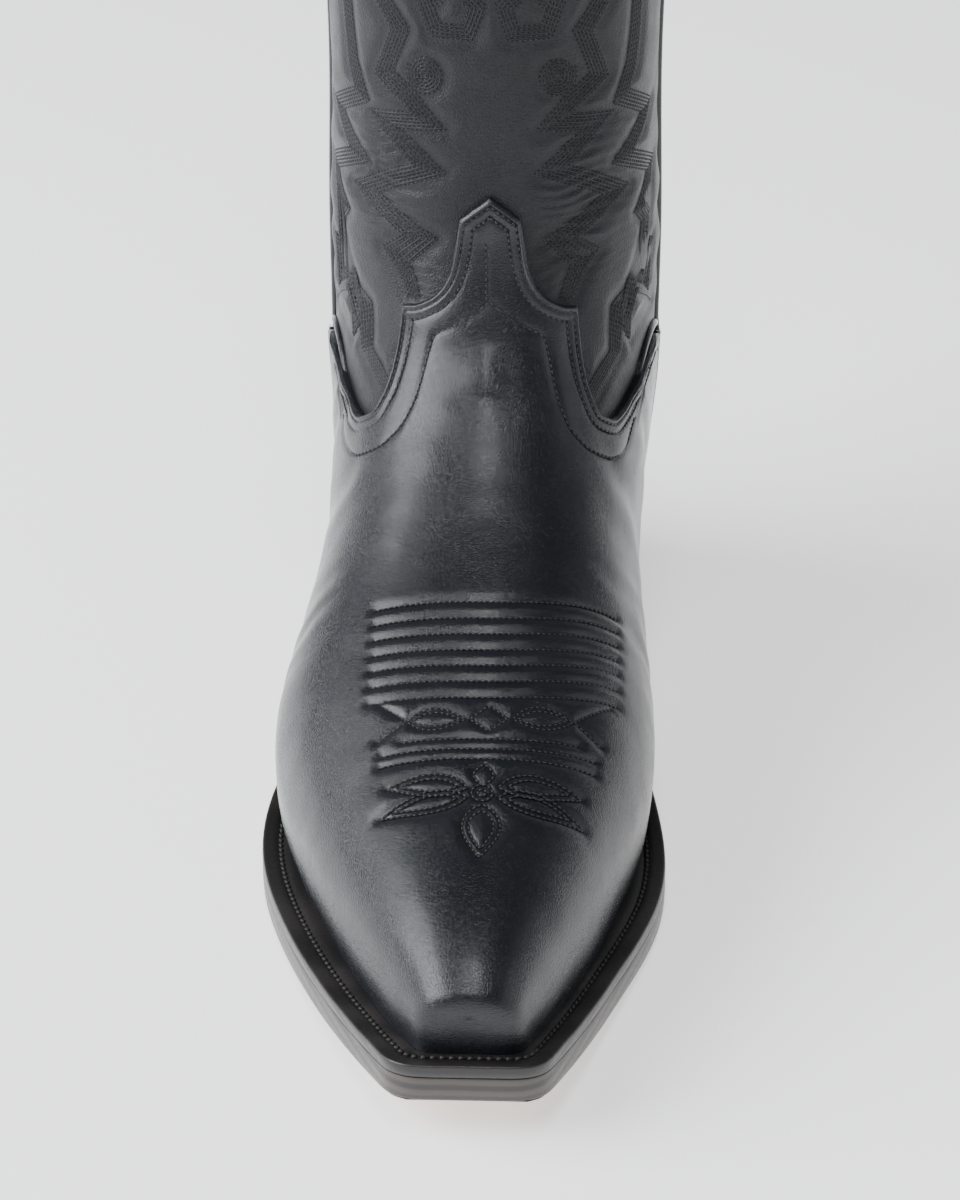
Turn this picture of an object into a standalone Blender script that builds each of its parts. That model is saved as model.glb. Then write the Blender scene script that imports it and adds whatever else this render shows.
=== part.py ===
"""A men's western boot, right foot: snip toe, Goodyear welt, undershot stacked heel and pull loops.

Lengths are written in millimetres in the boot's own frame and scaled once, in place():
x runs across (medial side positive), d runs back from the tip of the outsole, z is height.
In the scene the toe points to -Y and the boot stands on Z = 0.
"""
import math

import bmesh
import bpy
import numpy as np

# ---------------------------------------------------------------- driving sizes
MM = 0.001
BOOT_LENGTH = 313.6         # outsole tip to the back of the shaft's binding
AXIS_SHIFT = 0.4            # from the boot's middle to the last's axis, towards the medial side
SOLE_DEPTH = 10.3           # tread to the top of the welt
OUTSOLE_THICK = 5.4
GAP = 0.3                   # between pieces that touch
HEEL_END = 308.5            # back of the outsole

SKIN = 2.35                 # outer face of vamp and counter, from the shaft's outer face
LEATHER = 1.8
LINING_FACE = -2.3          # outer face of the lining, from the shaft's outer face
LINING = 1.2
WALL = LINING - LINING_FACE

SIDE_SEAM = 0.5             # share of the half girth at which the side seams lie
SEAM_D = (243.0, 236.0)     # vamp to counter cover seam: at its top and at the sole edge
SEAM_GAP = 0.05             # of a section, on each side of a butted seam
TOE_BOX_END = 5.1
LINING_JOIN = 13.6

STRAP_WIDTH = 24.0
LOOP_HEIGHT = 24.0
LOOP_INNER = 4.2            # wall centre to the inner face of a loop's leg
LOOP_THICK = 1.8

# ---------------------------------------------------------------- the last
# One row for each section from the toe to the topline. A section is a tilted plane that runs
# from a front (ridge) point down and back to a point of the sole edge, or to the back of the
# leg. Columns: front d, front z, back d, back z (None: on the welt), half widths lateral and
# medial, sole edge half widths as shares of those, height share of the widest point, and the
# superellipse powers of the upper and the lower half.
STATIONS = (
    (9.0, 31.0, 9.0, None, 0.0, 0.0, 1.00, 1.00, 0.22, 2.8, 2.2),
    (9.3, 34.0, 9.2, None, 9.0, 9.0, 1.00, 1.00, 0.22, 2.8, 2.2),
    (14.5, 38.4, 13.0, None, 12.6, 12.2, 0.99, 0.99, 0.23, 2.6, 2.2),
    (25.0, 43.0, 24.0, None, 18.6, 17.0, 0.97, 0.97, 0.25, 2.4, 2.2),
    (40.0, 48.0, 40.0, None, 26.0, 23.2, 0.95, 0.96, 0.28, 2.3, 2.2),
    (58.0, 53.2, 58.0, None, 34.2, 29.6, 0.93, 0.94, 0.31, 2.25, 2.2),
    (78.0, 58.8, 78.0, None, 42.0, 35.8, 0.92, 0.93, 0.33, 2.2, 2.2),
    (98.0, 65.4, 99.0, None, 48.6, 40.6, 0.93, 0.94, 0.34, 2.2, 2.2),
    (116.0, 72.4, 122.0, None, 52.2, 43.0, 0.93, 0.94, 0.34, 2.15, 2.2),
    (133.0, 80.4, 146.0, None, 50.6, 42.4, 0.91, 0.90, 0.34, 2.1, 2.1),
    (149.0, 89.4, 171.0, None, 46.6, 40.6, 0.84, 0.80, 0.35, 2.1, 2.0),
    (163.0, 99.4, 197.0, None, 43.4, 39.6, 0.75, 0.75, 0.36, 2.1, 2.0),
    (175.0, 110.2, 224.0, None, 42.2, 40.6, 0.72, 0.74, 0.38, 2.1, 2.0),
    (184.0, 121.6, 251.0, None, 42.8, 42.4, 0.74, 0.75, 0.42, 2.1, 2.1),
    (189.6, 133.4, 277.0, None, 44.2, 44.2, 0.67, 0.67, 0.46, 2.15, 2.1),
    (192.6, 143.6, 299.0, None, 45.4, 45.4, 0.40, 0.40, 0.49, 2.2, 2.1),
    (193.8, 152.0, 304.4, None, 45.9, 45.9, 0.0, 0.0, 0.50, 2.25, 2.1),
    (194.3, 160.0, 305.4, 66.0, 46.0, 46.0, 0.0, 0.0, 0.50, 2.25, 2.1),
    (194.7, 170.5, 304.0, 86.0, 46.0, 46.0, 0.0, 0.0, 0.50, 2.3, 2.1),
    (194.8, 182.0, 299.5, 108.0, 45.6, 45.6, 0.0, 0.0, 0.50, 2.3, 2.15),
    (194.4, 194.0, 297.0, 131.0, 45.0, 45.0, 0.0, 0.0, 0.50, 2.3, 2.2),
    (193.0, 208.0, 297.0, 155.0, 44.6, 44.6, 0.0, 0.0, 0.50, 2.3, 2.2),
    (190.5, 225.0, 298.5, 181.0, 44.9, 44.9, 0.0, 0.0, 0.50, 2.3, 2.2),
    (186.5, 246.0, 301.5, 211.0, 46.2, 46.2, 0.0, 0.0, 0.50, 2.3, 2.2),
    (182.0, 270.0, 305.0, 243.0, 48.4, 48.4, 0.0, 0.0, 0.50, 2.3, 2.2),
    (177.0, 295.0, 308.5, 276.0, 50.5, 50.5, 0.0, 0.0, 0.50, 2.3, 2.2),
    (172.0, 320.0, 312.0, 309.0, 52.0, 52.0, 0.0, 0.0, 0.50, 2.3, 2.2),
    (167.0, 345.0, 315.0, 340.0, 53.0, 53.0, 0.0, 0.0, 0.50, 2.3, 2.2),
    (163.0, 368.0, 318.0, 368.0, 53.5, 53.5, 0.0, 0.0, 0.50, 2.3, 2.2),
)
LAST_T = len(STATIONS) - 1
HEEL_BACK_T = 16.0          # from this section on, the leg is closed at the back

# Values every KNOT mm along the boot, from the outsole's tip
KNOT = 26.0
TREAD_Z = (12.0, 6.9, 3.4, 1.2, 0.0, 1.6, 6.4, 14.2, 22.6, 30.6, 32.8, 35.0, 37.2)
HALF_LATERAL = (17.5, 30.5, 42.0, 51.4, 57.4, 57.2, 50.5, 42.5, 37.4, 36.6, 37.0, 37.0, 37.0)
HALF_MEDIAL = (17.3, 27.5, 36.6, 45.0, 48.6, 46.6, 42.0, 37.4, 35.6, 36.0, 37.0, 37.0, 37.0)
HEEL_ROUND = 262.0          # the outline's round back starts here
TOE_CORNER = 4.0

# Panel edges: section number of the edge against the share of the half girth
VAMP_EDGE_S = (0.0, 0.055, 0.085, 0.14, 0.225, 0.28, 0.33, 0.41, 0.465, 0.5, 0.515)
VAMP_EDGE_T = (16.9, 16.1, 14.8, 14.05, 13.9, 12.9, 12.05, 11.95, 12.5, 13.3, 14.2)
EAR_SHARE = 0.53            # where the vamp and the counter cover meet below the side seam
COUNTER_EDGE_S = (EAR_SHARE, 0.56, 0.59, 0.65, 0.74, 0.83, 1.0)
COUNTER_EDGE_T = (15.6, 16.6, 17.4, 18.4, 18.9, 19.1, 20.6)

SHARES = (0.0, 0.055, 0.085, 0.14, 0.225, 0.28, 0.33, 0.41, 0.465, 0.5, 0.515, 0.53, 0.56, 0.59,
          0.65, 0.74, 0.83, 0.92, 1.0)
SECTIONS = np.concatenate([
    np.linspace(0.0, 2.0, 6),
    np.linspace(2.8, 14.0, 15),
    np.linspace(14.5, 17.0, 6),
    np.linspace(18.2, LAST_T, 9),
])


# ---------------------------------------------------------------- curves and the surface
def spline_bends(values):
    """Second derivatives of the natural cubic spline through values at 0, 1, 2, ..."""
    values = np.asarray(values, float)
    count = len(values)
    matrix = np.eye(count) * 4.0
    matrix[0, 0] = 1.0
    matrix[-1, -1] = 1.0
    for i in range(1, count - 1):
        matrix[i, i - 1] = 1.0
        matrix[i, i + 1] = 1.0
    right = np.zeros_like(values)
    right[1:-1] = 6.0 * (values[2:] - 2.0 * values[1:-1] + values[:-2])
    return np.linalg.solve(matrix, right)


def spline_at(values, bends, t):
    t = np.asarray(t, float)
    i = np.clip(np.floor(t).astype(int), 0, len(values) - 2)
    f = t - i
    if values.ndim > 1:
        f = f[..., None]
    g = 1.0 - f
    cubic = ((g ** 3 - g) * bends[i] + (f ** 3 - f) * bends[i + 1]) / 6.0
    return g * values[i] + f * values[i + 1] + cubic


def knot_curve(values):
    values = np.array(values, float)
    bends = spline_bends(values)
    return lambda d: spline_at(values, bends, np.asarray(d, float) / KNOT)


tread_curve = knot_curve(TREAD_Z)
half_curves = {-1: knot_curve(HALF_LATERAL), 1: knot_curve(HALF_MEDIAL)}


def tread(d):
    """Height of the outsole's underside."""
    return np.maximum(tread_curve(np.clip(d, 0.0, KNOT * (len(TREAD_Z) - 1))), 0.0)


def sole_half_width(d, side):
    """Half width of the outsole: a snipped toe, and a round back."""
    d = np.asarray(d, float)
    corner = TOE_CORNER * (1.0 - np.clip(d / TOE_CORNER, 0.0, 1.0)) ** 2
    back = np.clip((d - HEEL_ROUND) / (HEEL_END - HEEL_ROUND), 0.0, 1.0)
    return (half_curves[side](d) - corner) * (1.0 - back ** 2.3) ** (1.0 / 2.3)


def station_table():
    rows = []
    for row in STATIONS:
        back_z = row[3]
        if back_z is None:
            back_z = float(tread(row[2])) + SOLE_DEPTH
        rows.append(row[:3] + (back_z,) + row[4:])
    return np.array(rows, float)


STATION_VALUES = station_table()
STATION_BENDS = spline_bends(STATION_VALUES)


def on_last(t, a):
    """Point of the last: section t, and a from -1 (lateral sole edge) by 0 (ridge) to 1."""
    t, a = np.broadcast_arrays(np.asarray(t, float), np.asarray(a, float))
    columns = np.moveaxis(spline_at(STATION_VALUES, STATION_BENDS, t), -1, 0)
    front_d, front_z, back_d, back_z, lateral, medial, edge_l, edge_m, widest, top_n, low_n = columns
    back_z = np.where(t <= HEEL_BACK_T, tread(back_d) + SOLE_DEPTH, back_z)
    is_medial = a > 0
    width = np.where(is_medial, medial, lateral)
    edge = np.clip(np.where(is_medial, edge_m, edge_l), 0.0, 0.995)
    edge = np.where(t >= HEEL_BACK_T, 0.0, edge)
    drop = (1.0 - edge ** low_n) ** (1.0 / low_n)
    turn = math.pi / 2 - np.abs(a) * (math.pi / 2 + np.arctan2(drop, edge))
    upper = turn >= 0
    power = np.where(upper, top_n, low_n)
    cosine = np.cos(turn)
    sine = np.sin(turn)
    radius = (np.abs(cosine) ** power + np.abs(sine) ** power) ** (-1.0 / power)
    x = width * radius * cosine
    rise = np.where(upper, widest + (1.0 - widest) * radius * sine,
                    widest + widest / drop * radius * sine)
    d = back_d + rise * (front_d - back_d)
    z = back_z + rise * (front_z - back_z)
    return np.stack([np.where(is_medial, x, -x), d, z], -1)


def outward(t, a):
    """Unit normal of the last, in the symmetry plane where the surface closes on itself."""
    step = 1e-3
    t = np.asarray(t, float)
    a = np.asarray(a, float)
    inner_t = np.clip(t, 0.02, LAST_T - 0.001)
    along = on_last(inner_t + step, a) - on_last(inner_t - step, a)
    around = on_last(inner_t, np.minimum(a + step, 1)) - on_last(inner_t, np.maximum(a - step, -1))
    normal = np.cross(around, along)
    closed = (t <= 0) | ((np.abs(a) >= 1) & (t >= HEEL_BACK_T))
    normal[..., 0] = np.where(closed, 0.0, normal[..., 0])
    return normal / np.linalg.norm(normal, axis=-1, keepdims=True)


def layer_point(t, a, offset):
    return on_last(t, a) + offset * outward(t, a)


def feather_inward(t, side):
    """Horizontal direction from the sole edge to the boot's inside."""
    step = 1e-3
    ahead = on_last(min(t + step, HEEL_BACK_T), side)
    behind = on_last(max(t - step, 0.0), side)
    x, d, _ = ahead - behind
    inward = np.array([-d * side, x * side, 0.0])
    if t <= 0 or t >= HEEL_BACK_T:
        inward[0] = 0.0
    return inward / np.linalg.norm(inward)


def vamp_edge(s):
    """Section of the vamp's top edge: scalloped tongue, then the seam down the side."""
    if s >= EAR_SHARE:
        return side_seam(s) - SEAM_GAP
    return float(np.interp(s, VAMP_EDGE_S + (EAR_SHARE,), VAMP_EDGE_T + (side_seam(EAR_SHARE),)))


def side_seam(s):
    """Section of the seam between vamp and counter cover, at share s."""
    t = np.linspace(10.0, 15.9, 60)
    seam_d = np.interp(s, (EAR_SHARE, 1.0), SEAM_D)
    return float(np.interp(seam_d, on_last(t, s)[:, 1], t))


def counter_edge(s):
    return float(np.interp(s, COUNTER_EDGE_S, COUNTER_EDGE_T))


def topline(s):
    """Section of the topline: low in front and behind, high at the side seams."""
    lift = math.sin(math.pi * s) ** 2
    if s < SIDE_SEAM:
        return 25.6 + 1.5 * lift
    return 26.1 + 1.0 * lift


# ---------------------------------------------------------------- objects and materials
def clear_scene():
    for old in list(bpy.data.objects):
        bpy.data.objects.remove(old, do_unlink=True)


def collection(name):
    made = bpy.data.collections.new(name)
    bpy.context.scene.collection.children.link(made)
    return made


def material(name, colour, roughness, metallic=0.0):
    made = bpy.data.materials.new(name)
    made.use_nodes = True
    shader = made.node_tree.nodes["Principled BSDF"]
    shader.inputs["Base Color"].default_value = (*colour, 1.0)
    shader.inputs["Roughness"].default_value = roughness
    shader.inputs["Metallic"].default_value = metallic
    return made


def place(point):
    """Boot millimetres to scene metres, with the origin under the middle of the boot."""
    x, d, z = point
    return ((x + AXIS_SHIFT) * MM, (d - BOOT_LENGTH / 2) * MM, z * MM)


def mesh_object(name, points, faces, finish):
    """Mesh object from boot points, with doubles welded and collapsed faces dropped."""
    mesh = bpy.data.meshes.new(name)
    mesh.from_pydata([place(point) for point in points], [], faces)
    work = bmesh.new()
    work.from_mesh(mesh)
    bmesh.ops.remove_doubles(work, verts=work.verts, dist=0.02 * MM)
    bmesh.ops.dissolve_degenerate(work, edges=work.edges, dist=0.01 * MM)
    work.to_mesh(mesh)
    work.free()
    mesh.materials.append(finish)
    mesh.shade_smooth()
    mesh.set_sharp_from_angle(angle=math.radians(40))
    made = bpy.data.objects.new(name, mesh)
    parts.objects.link(made)
    return made


def close_winding(made):
    """Point a closed body's faces outward."""
    work = bmesh.new()
    work.from_mesh(made.data)
    bmesh.ops.recalc_face_normals(work, faces=work.faces)
    work.to_mesh(made.data)
    work.free()


# ---------------------------------------------------------------- leather panels
BEND_RADIUS = 3.6           # of the lasting margin, at the shaft's outer face
BEND_TURNS = (0.5, 1.0)     # shares of the bend, from the wall to flat under the foot
BEND_LIFT = 1.4             # least height of the bend's centre over the sole edge


def margin_width(t):
    """How far a lasted layer is turned in under the foot."""
    return float(np.interp(t, (0.0, 2.0, 4.0), (4.0, 5.0, 9.0)))


def lasting_points(t, side, offset):
    """Points that carry a layer round the sole edge and in under the insole."""
    t = min(t, HEEL_BACK_T)
    edge = on_last(t, side)
    inward = feather_inward(t, side)
    up = np.array([0.0, 0.0, 1.0])
    start = math.asin(-outward(t, side)[2])
    lift = max(BEND_RADIUS * math.sin(start), BEND_LIFT)
    centre = edge + BEND_RADIUS * math.cos(start) * inward + lift * up
    points = []
    for share in BEND_TURNS:
        turn = start + share * (math.pi / 2 - start)
        reach = BEND_RADIUS + offset
        points.append(centre - reach * (math.cos(turn) * inward + math.sin(turn) * up))
    points.append(points[-1] + margin_width(t) * inward)
    return points


def strip(columns, low, high, offset, lasted):
    """Columns of points, cut off between sections low(s) and high(s), each with a flag that
    says whether it lies on the turned-in margin."""
    grid = []
    for a in columns:
        rows = np.clip(SECTIONS, low(abs(a)), high(abs(a)))
        wall = [(list(layer_point(rows, a, offset)), False)]
        if lasted and abs(a) == 1.0:
            turned = np.array([lasting_points(t, a, offset) for t in rows])
            wall += [(list(turned[:, i]), True) for i in range(turned.shape[1])]
        grid.extend(wall if a > 0 else reversed(wall))
    return grid


def shares_between(first, last):
    inner = [s for s in SHARES if first + 0.005 < s < last - 0.005]
    return [first] + inner + [last]


def panel(name, low, high, face, thick, finish, first=0.0, last=1.0, lasted=False, side=0):
    """One leather layer of the given thickness, with its outer face at offset face.

    It runs over both sides of the boot, or over one (side -1 lateral, 1 medial)."""
    medial = shares_between(first, last)
    lateral = [-s for s in reversed(medial)]
    if side:
        strips = [medial if side > 0 else lateral]
    elif first == 0.0:
        strips = [lateral + medial[1:]]
    else:
        strips = [lateral, medial]
    points = []
    faces = []
    for columns in strips:
        grid = strip(columns, low, high, face, lasted)
        height = len(SECTIONS)
        base = len(points)
        for column, _ in grid:
            points.extend(column)
        for c in range(len(grid) - 1):
            on_margin = grid[c][1] or grid[c + 1][1]
            for r in range(height - 1):
                if on_margin and SECTIONS[r] >= HEEL_BACK_T:
                    break
                corner = base + c * height + r
                faces.append((corner, corner + height, corner + height + 1, corner + 1))
    made = mesh_object(name, points, faces, finish)
    solidify = made.modifiers.new("thickness", "SOLIDIFY")
    solidify.thickness = thick * MM
    solidify.offset = -1.0
    solidify.use_even_offset = False
    return made


def make_upper():
    def shaft_low(s):
        if s < EAR_SHARE:
            return vamp_edge(s) - 0.9
        return counter_edge(s) - 1.0

    def stiffener_low(s):
        return side_seam(s) + 0.45

    def backer_high(s):
        if s < SIDE_SEAM:
            return vamp_edge(s) - 1.25
        return min(side_seam(s), shaft_low(SIDE_SEAM), vamp_edge(SIDE_SEAM)) - 0.35

    panel("vamp", lambda s: 0.0, vamp_edge, SKIN, LEATHER, black, lasted=True)
    panel("counter_cover", lambda s: side_seam(s) + SEAM_GAP, counter_edge, SKIN, LEATHER, black,
          first=EAR_SHARE, lasted=True)
    seam_gap = 0.013
    panel("shaft_front", shaft_low, topline, 0.0, LEATHER, black, last=SIDE_SEAM - seam_gap)
    panel("shaft_back", shaft_low, topline, 0.0, LEATHER, black, first=SIDE_SEAM + seam_gap)
    panel("toe_box", lambda s: 0.0, lambda s: TOE_BOX_END, -0.1, LEATHER, fibre)
    panel("vamp_backer", lambda s: TOE_BOX_END + 0.1, backer_high, -0.2, 1.5, canvas)
    panel("heel_stiffener", stiffener_low, lambda s: max(shaft_low(s) - 0.3, stiffener_low(s)),
          -0.8, 0.8, fibre, first=0.65)
    panel("vamp_lining", lambda s: 0.0, lambda s: LINING_JOIN, LINING_FACE, LINING, tan)
    panel("shaft_lining", lambda s: LINING_JOIN + 0.06, topline, LINING_FACE, LINING, tan)


def make_side_piping():
    """The cord that stands in each side seam, from the vamp up to the binding."""
    radius = 1.2
    for side, word in ((-1, "lateral"), (1, "medial")):
        rows = np.linspace(16.0, topline(SIDE_SEAM) - 0.35, 18)
        points = layer_point(rows, side * SIDE_SEAM, -0.4)
        name = f"side_piping_{word}"
        curve = bpy.data.curves.new(name, "CURVE")
        curve.dimensions = "3D"
        curve.bevel_depth = radius * MM
        curve.bevel_resolution = 2
        curve.use_fill_caps = True
        spline = curve.splines.new("POLY")
        spline.points.add(len(points) - 1)
        for knot, point in zip(spline.points, points):
            knot.co = (*place(point), 1.0)
        curve.materials.append(black)
        parts.objects.link(bpy.data.objects.new(name, curve))


def make_binding():
    """U-shaped leather binding, rolled over the topline."""
    outer = 0.6
    inner = -WALL - 0.5
    section = ((outer, -4.0), (outer + 0.8, -4.0), (outer + 0.8, 0.5), (outer + 0.2, 1.1),
               (inner - 0.2, 1.1), (inner - 0.8, 0.5), (inner - 0.8, -4.0), (inner, -4.0),
               (inner, 0.3), (outer, 0.3))
    around = [-s for s in reversed(SHARES[1:])] + list(SHARES[:-1])
    points = []
    for a in around:
        edge = on_last(topline(abs(a)), a)
        across = outward(topline(abs(a)), a)
        up = np.array([0.0, 0.0, 1.0]) - across * across[2]
        up /= np.linalg.norm(up)
        points.extend(edge + across * n + up * h for n, h in section)
    size = len(section)
    faces = []
    for i in range(len(around)):
        after = (i + 1) % len(around)
        for j in range(size):
            k = (j + 1) % size
            faces.append((i * size + j, after * size + j, after * size + k, i * size + k))
    made = mesh_object("top_binding", points, faces, black)
    close_winding(made)


# ---------------------------------------------------------------- pull straps
def topline_centre(side):
    """Middle of the wall's top edge at a side seam."""
    t = topline(SIDE_SEAM)
    return layer_point(t, side * SIDE_SEAM, -WALL / 2)


def make_pull_straps():
    half_share = 0.062
    for side, word in ((-1, "lateral"), (1, "medial")):
        for face, name in ((1.9, "outer"), (-WALL - 0.5, "inner")):
            panel(f"pull_tab_{word}_{name}", lambda s: topline(SIDE_SEAM) - 2.4,
                  lambda s: topline(SIDE_SEAM) - 0.42, face, 1.0, black,
                  first=SIDE_SEAM - half_share, last=SIDE_SEAM + half_share, side=side)
        make_loop(f"pull_loop_{word}", topline_centre(side))


def make_loop(name, top):
    """The free loop of a pull strap: an arch over the topline, pivoting along Y."""
    foot = 1.0
    inner = LOOP_INNER
    outer = LOOP_INNER + LOOP_THICK
    arc_base = LOOP_HEIGHT - outer
    turns = np.linspace(0.0, math.pi, 9)
    outline = [(outer, foot)]
    outline += [(outer * math.cos(u), arc_base + outer * math.sin(u)) for u in turns]
    outline += [(-outer, foot), (-inner, foot)]
    outline += [(-inner * math.cos(u), arc_base + inner * math.sin(u)) for u in turns]
    outline += [(inner, foot)]
    curve = bpy.data.curves.new(name, "CURVE")
    curve.dimensions = "2D"
    curve.fill_mode = "BOTH"
    curve.extrude = STRAP_WIDTH / 2 * MM
    spline = curve.splines.new("POLY")
    spline.points.add(len(outline) - 1)
    for knot, (x, z) in zip(spline.points, outline):
        knot.co = (x * MM, z * MM, 0.0, 1.0)
    spline.use_cyclic_u = True
    curve.materials.append(black)
    made = bpy.data.objects.new(name, curve)
    made.location = place(top)
    made.rotation_euler = (math.pi / 2, 0.0, 0.0)
    parts.objects.link(made)


# ---------------------------------------------------------------- sole
def slab(name, rows, half, bottom, top, finish):
    """Sheet with two straight edges across each row d, between heights bottom(d) and top(d)."""
    points = []
    for d in rows:
        for side in (-1, 1):
            x = side * float(half(d, side))
            points.append((x, d, float(bottom(d))))
            points.append((x, d, float(top(d))))
    faces = []
    for i in range(len(rows) - 1):
        low = 4 * i
        for first, second in ((0, 1), (1, 3), (3, 2), (2, 0)):
            faces.append((low + first, low + second, low + 4 + second, low + 4 + first))
    faces.append((0, 1, 3, 2))
    last = 4 * (len(rows) - 1)
    faces.append((last, last + 1, last + 3, last + 2))
    made = mesh_object(name, points, faces, finish)
    close_winding(made)
    return made


def feather_line(side):
    """Sole edge of the last, as points (x, d) from the toe's corner to the heel's back."""
    t = np.concatenate([np.linspace(1.0, 14.0, 53), np.linspace(14.1, HEEL_BACK_T, 20)])
    return on_last(t, side)


def inside_half_width(inset):
    """Half width of a piece that lies the given distance inside the sole edge."""
    edges = {}
    for side in (-1, 1):
        line = feather_line(side)
        t_values = np.concatenate([np.linspace(1.0, 14.0, 53), np.linspace(14.1, HEEL_BACK_T, 20)])
        moved = [p + inset * feather_inward(t, side) for p, t in zip(line, t_values)]
        edges[side] = np.array(moved)

    def half(d, side):
        line = edges[side]
        return max(side * float(np.interp(d, line[:, 1], line[:, 0])), 0.5)

    return half


def rows_between(start, end, step=11.0, round_back=False):
    """Row positions, close together where the outline turns round the heel."""
    if not round_back:
        return np.linspace(start, end, max(2, round((end - start) / step) + 1))
    turn = end - 44.0
    straight = np.linspace(start, turn, round((turn - start) / step) + 1)
    angles = np.linspace(0.0, math.pi / 2, 10)[1:]
    return np.concatenate([straight, turn + (end - turn) * np.sin(angles)])


def make_welt_and_rand():
    """Strips of leather outside the sole edge: the welt to the heel, and the heel seat's rand."""
    clear = 2.9
    join = 12.6
    for name, first, last, mirrored in (("welt", 0.0, join, True),
                                        ("heel_seat_rand", join + 0.04, HEEL_BACK_T, True)):
        points = []
        faces = []
        for side in (-1, 1):
            rows = np.unique(np.concatenate([[first], SECTIONS, [last]]))
            rows = rows[(rows >= first) & (rows <= last)]
            base = len(points)
            for t in rows:
                edge = on_last(t, side)
                inward = feather_inward(t, side)
                inner = edge - clear * inward
                outer = outline_along(edge, -inward, side)
                for x, d, _ in (inner, outer):
                    height = float(tread(d))
                    points.append((x, d, height + OUTSOLE_THICK + 0.5))
                    points.append((x, d, height + SOLE_DEPTH))
            for i in range(len(rows) - 1):
                low = base + 4 * i
                for a, b in ((0, 1), (1, 3), (3, 2), (2, 0)):
                    faces.append((low + a, low + b, low + 4 + b, low + 4 + a))
            open_end = base + (4 * (len(rows) - 1) if name == "welt" else 0)
            faces.append((open_end, open_end + 1, open_end + 3, open_end + 2))
        close_winding(mesh_object(name, points, faces, black if name == "welt" else edge_black))


def outline_along(start, direction, side):
    """Where a level line from the sole edge meets the outsole's outline."""
    reach = np.linspace(2.0, 16.0, 281)
    x = start[0] + reach * direction[0]
    d = start[1] + reach * direction[1]
    inside = (d > 0.0) & (d < HEEL_END)
    limit = np.where(inside, sole_half_width(np.clip(d, 0.0, HEEL_END), side), 0.0)
    within = inside & (side * x <= limit)
    best = int(np.argmin(within)) - 1
    return np.array([x[best], d[best], 0.0])


def make_sole():
    make_welt_and_rand()
    toe_rows = [0.0, 1.0, 2.2, 4.0, 10.0]
    rows = np.concatenate([toe_rows, rows_between(20.0, HEEL_END, round_back=True)])
    slab("outsole", rows, sole_half_width, tread, lambda d: tread(d) + OUTSOLE_THICK, sole_leather)

    under_foot = SOLE_DEPTH + 2.3
    insole_half = inside_half_width(WALL + 1.0)
    seat_back = 297.0
    rows = rows_between(15.0, seat_back, round_back=True)
    slab("insole", rows, insole_half, lambda d: tread(d) + under_foot,
         lambda d: tread(d) + under_foot + 3.0, raw_leather)
    slab("sock_liner", rows, insole_half, lambda d: tread(d) + under_foot + 3.0 + GAP,
         lambda d: tread(d) + under_foot + 4.5, tan)

    filler_half = inside_half_width(13.6)
    slab("cork_filler", rows_between(30.0, 118.0), filler_half,
         lambda d: tread(d) + OUTSOLE_THICK + GAP, lambda d: tread(d) + under_foot - GAP, cork)
    slab("shank", rows_between(122.0, 262.0), lambda d, side: 8.0,
         lambda d: tread(d) + OUTSOLE_THICK + GAP, lambda d: tread(d) + OUTSOLE_THICK + 1.9, steel)


# ---------------------------------------------------------------- heel
TOP_LIFT_THICK = 6.0
LIFT_COUNT = 4
BREAST_D = 239.0
UNDERSHOT = 0.26            # how far the back comes forward for each mm down
SIDE_TAPER = 0.10


def heel_outline(z):
    """Plan of the heel at height z: a straight breast and a round back."""
    drop = 36.0 - z
    back = HEEL_END - 1.0 - UNDERSHOT * drop
    wide = 36.2 - SIDE_TAPER * drop
    turn = back - 42.0
    front = BREAST_D + 0.04 * drop
    angles = np.linspace(0.0, math.pi / 2, 9)
    medial = [(wide * 0.985, front)]
    for angle in angles:
        medial.append((wide * math.cos(angle) ** 0.85, turn + (back - turn) * math.sin(angle) ** 0.95))
    medial[-1] = (0.0, back)
    lateral = [(-x, d) for x, d in reversed(medial[:-1])]
    return medial + lateral


def make_heel_piece(name, low, high, finish):
    """One lift between height low and height high, a number or a function of d."""
    points = []
    for x, d in heel_outline(low):
        points.append((x, d, low))
    top_height = high if callable(high) else (lambda d: high)
    mean_high = float(top_height(270.0))
    for x, d in heel_outline(mean_high):
        points.append((x, d, float(top_height(d))))
    size = len(points) // 2
    faces = [tuple(range(size)), tuple(range(size, 2 * size))]
    for i in range(size):
        j = (i + 1) % size
        faces.append((i, j, size + j, size + i))
    close_winding(mesh_object(name, points, faces, finish))


def make_heel():
    seat_front = float(tread(BREAST_D))
    lift = (seat_front - TOP_LIFT_THICK - 2.0) / LIFT_COUNT
    make_heel_piece("top_lift", 0.0, TOP_LIFT_THICK, rubber)
    for i in range(LIFT_COUNT):
        low = TOP_LIFT_THICK + i * lift + GAP
        high = TOP_LIFT_THICK + (i + 1) * lift
        make_heel_piece(f"heel_lift_{i + 1}", low, high, edge_black)
    wedge = TOP_LIFT_THICK + LIFT_COUNT * lift + GAP
    make_heel_piece("heel_wedge", wedge, lambda d: tread(d) - GAP, edge_black)


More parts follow.
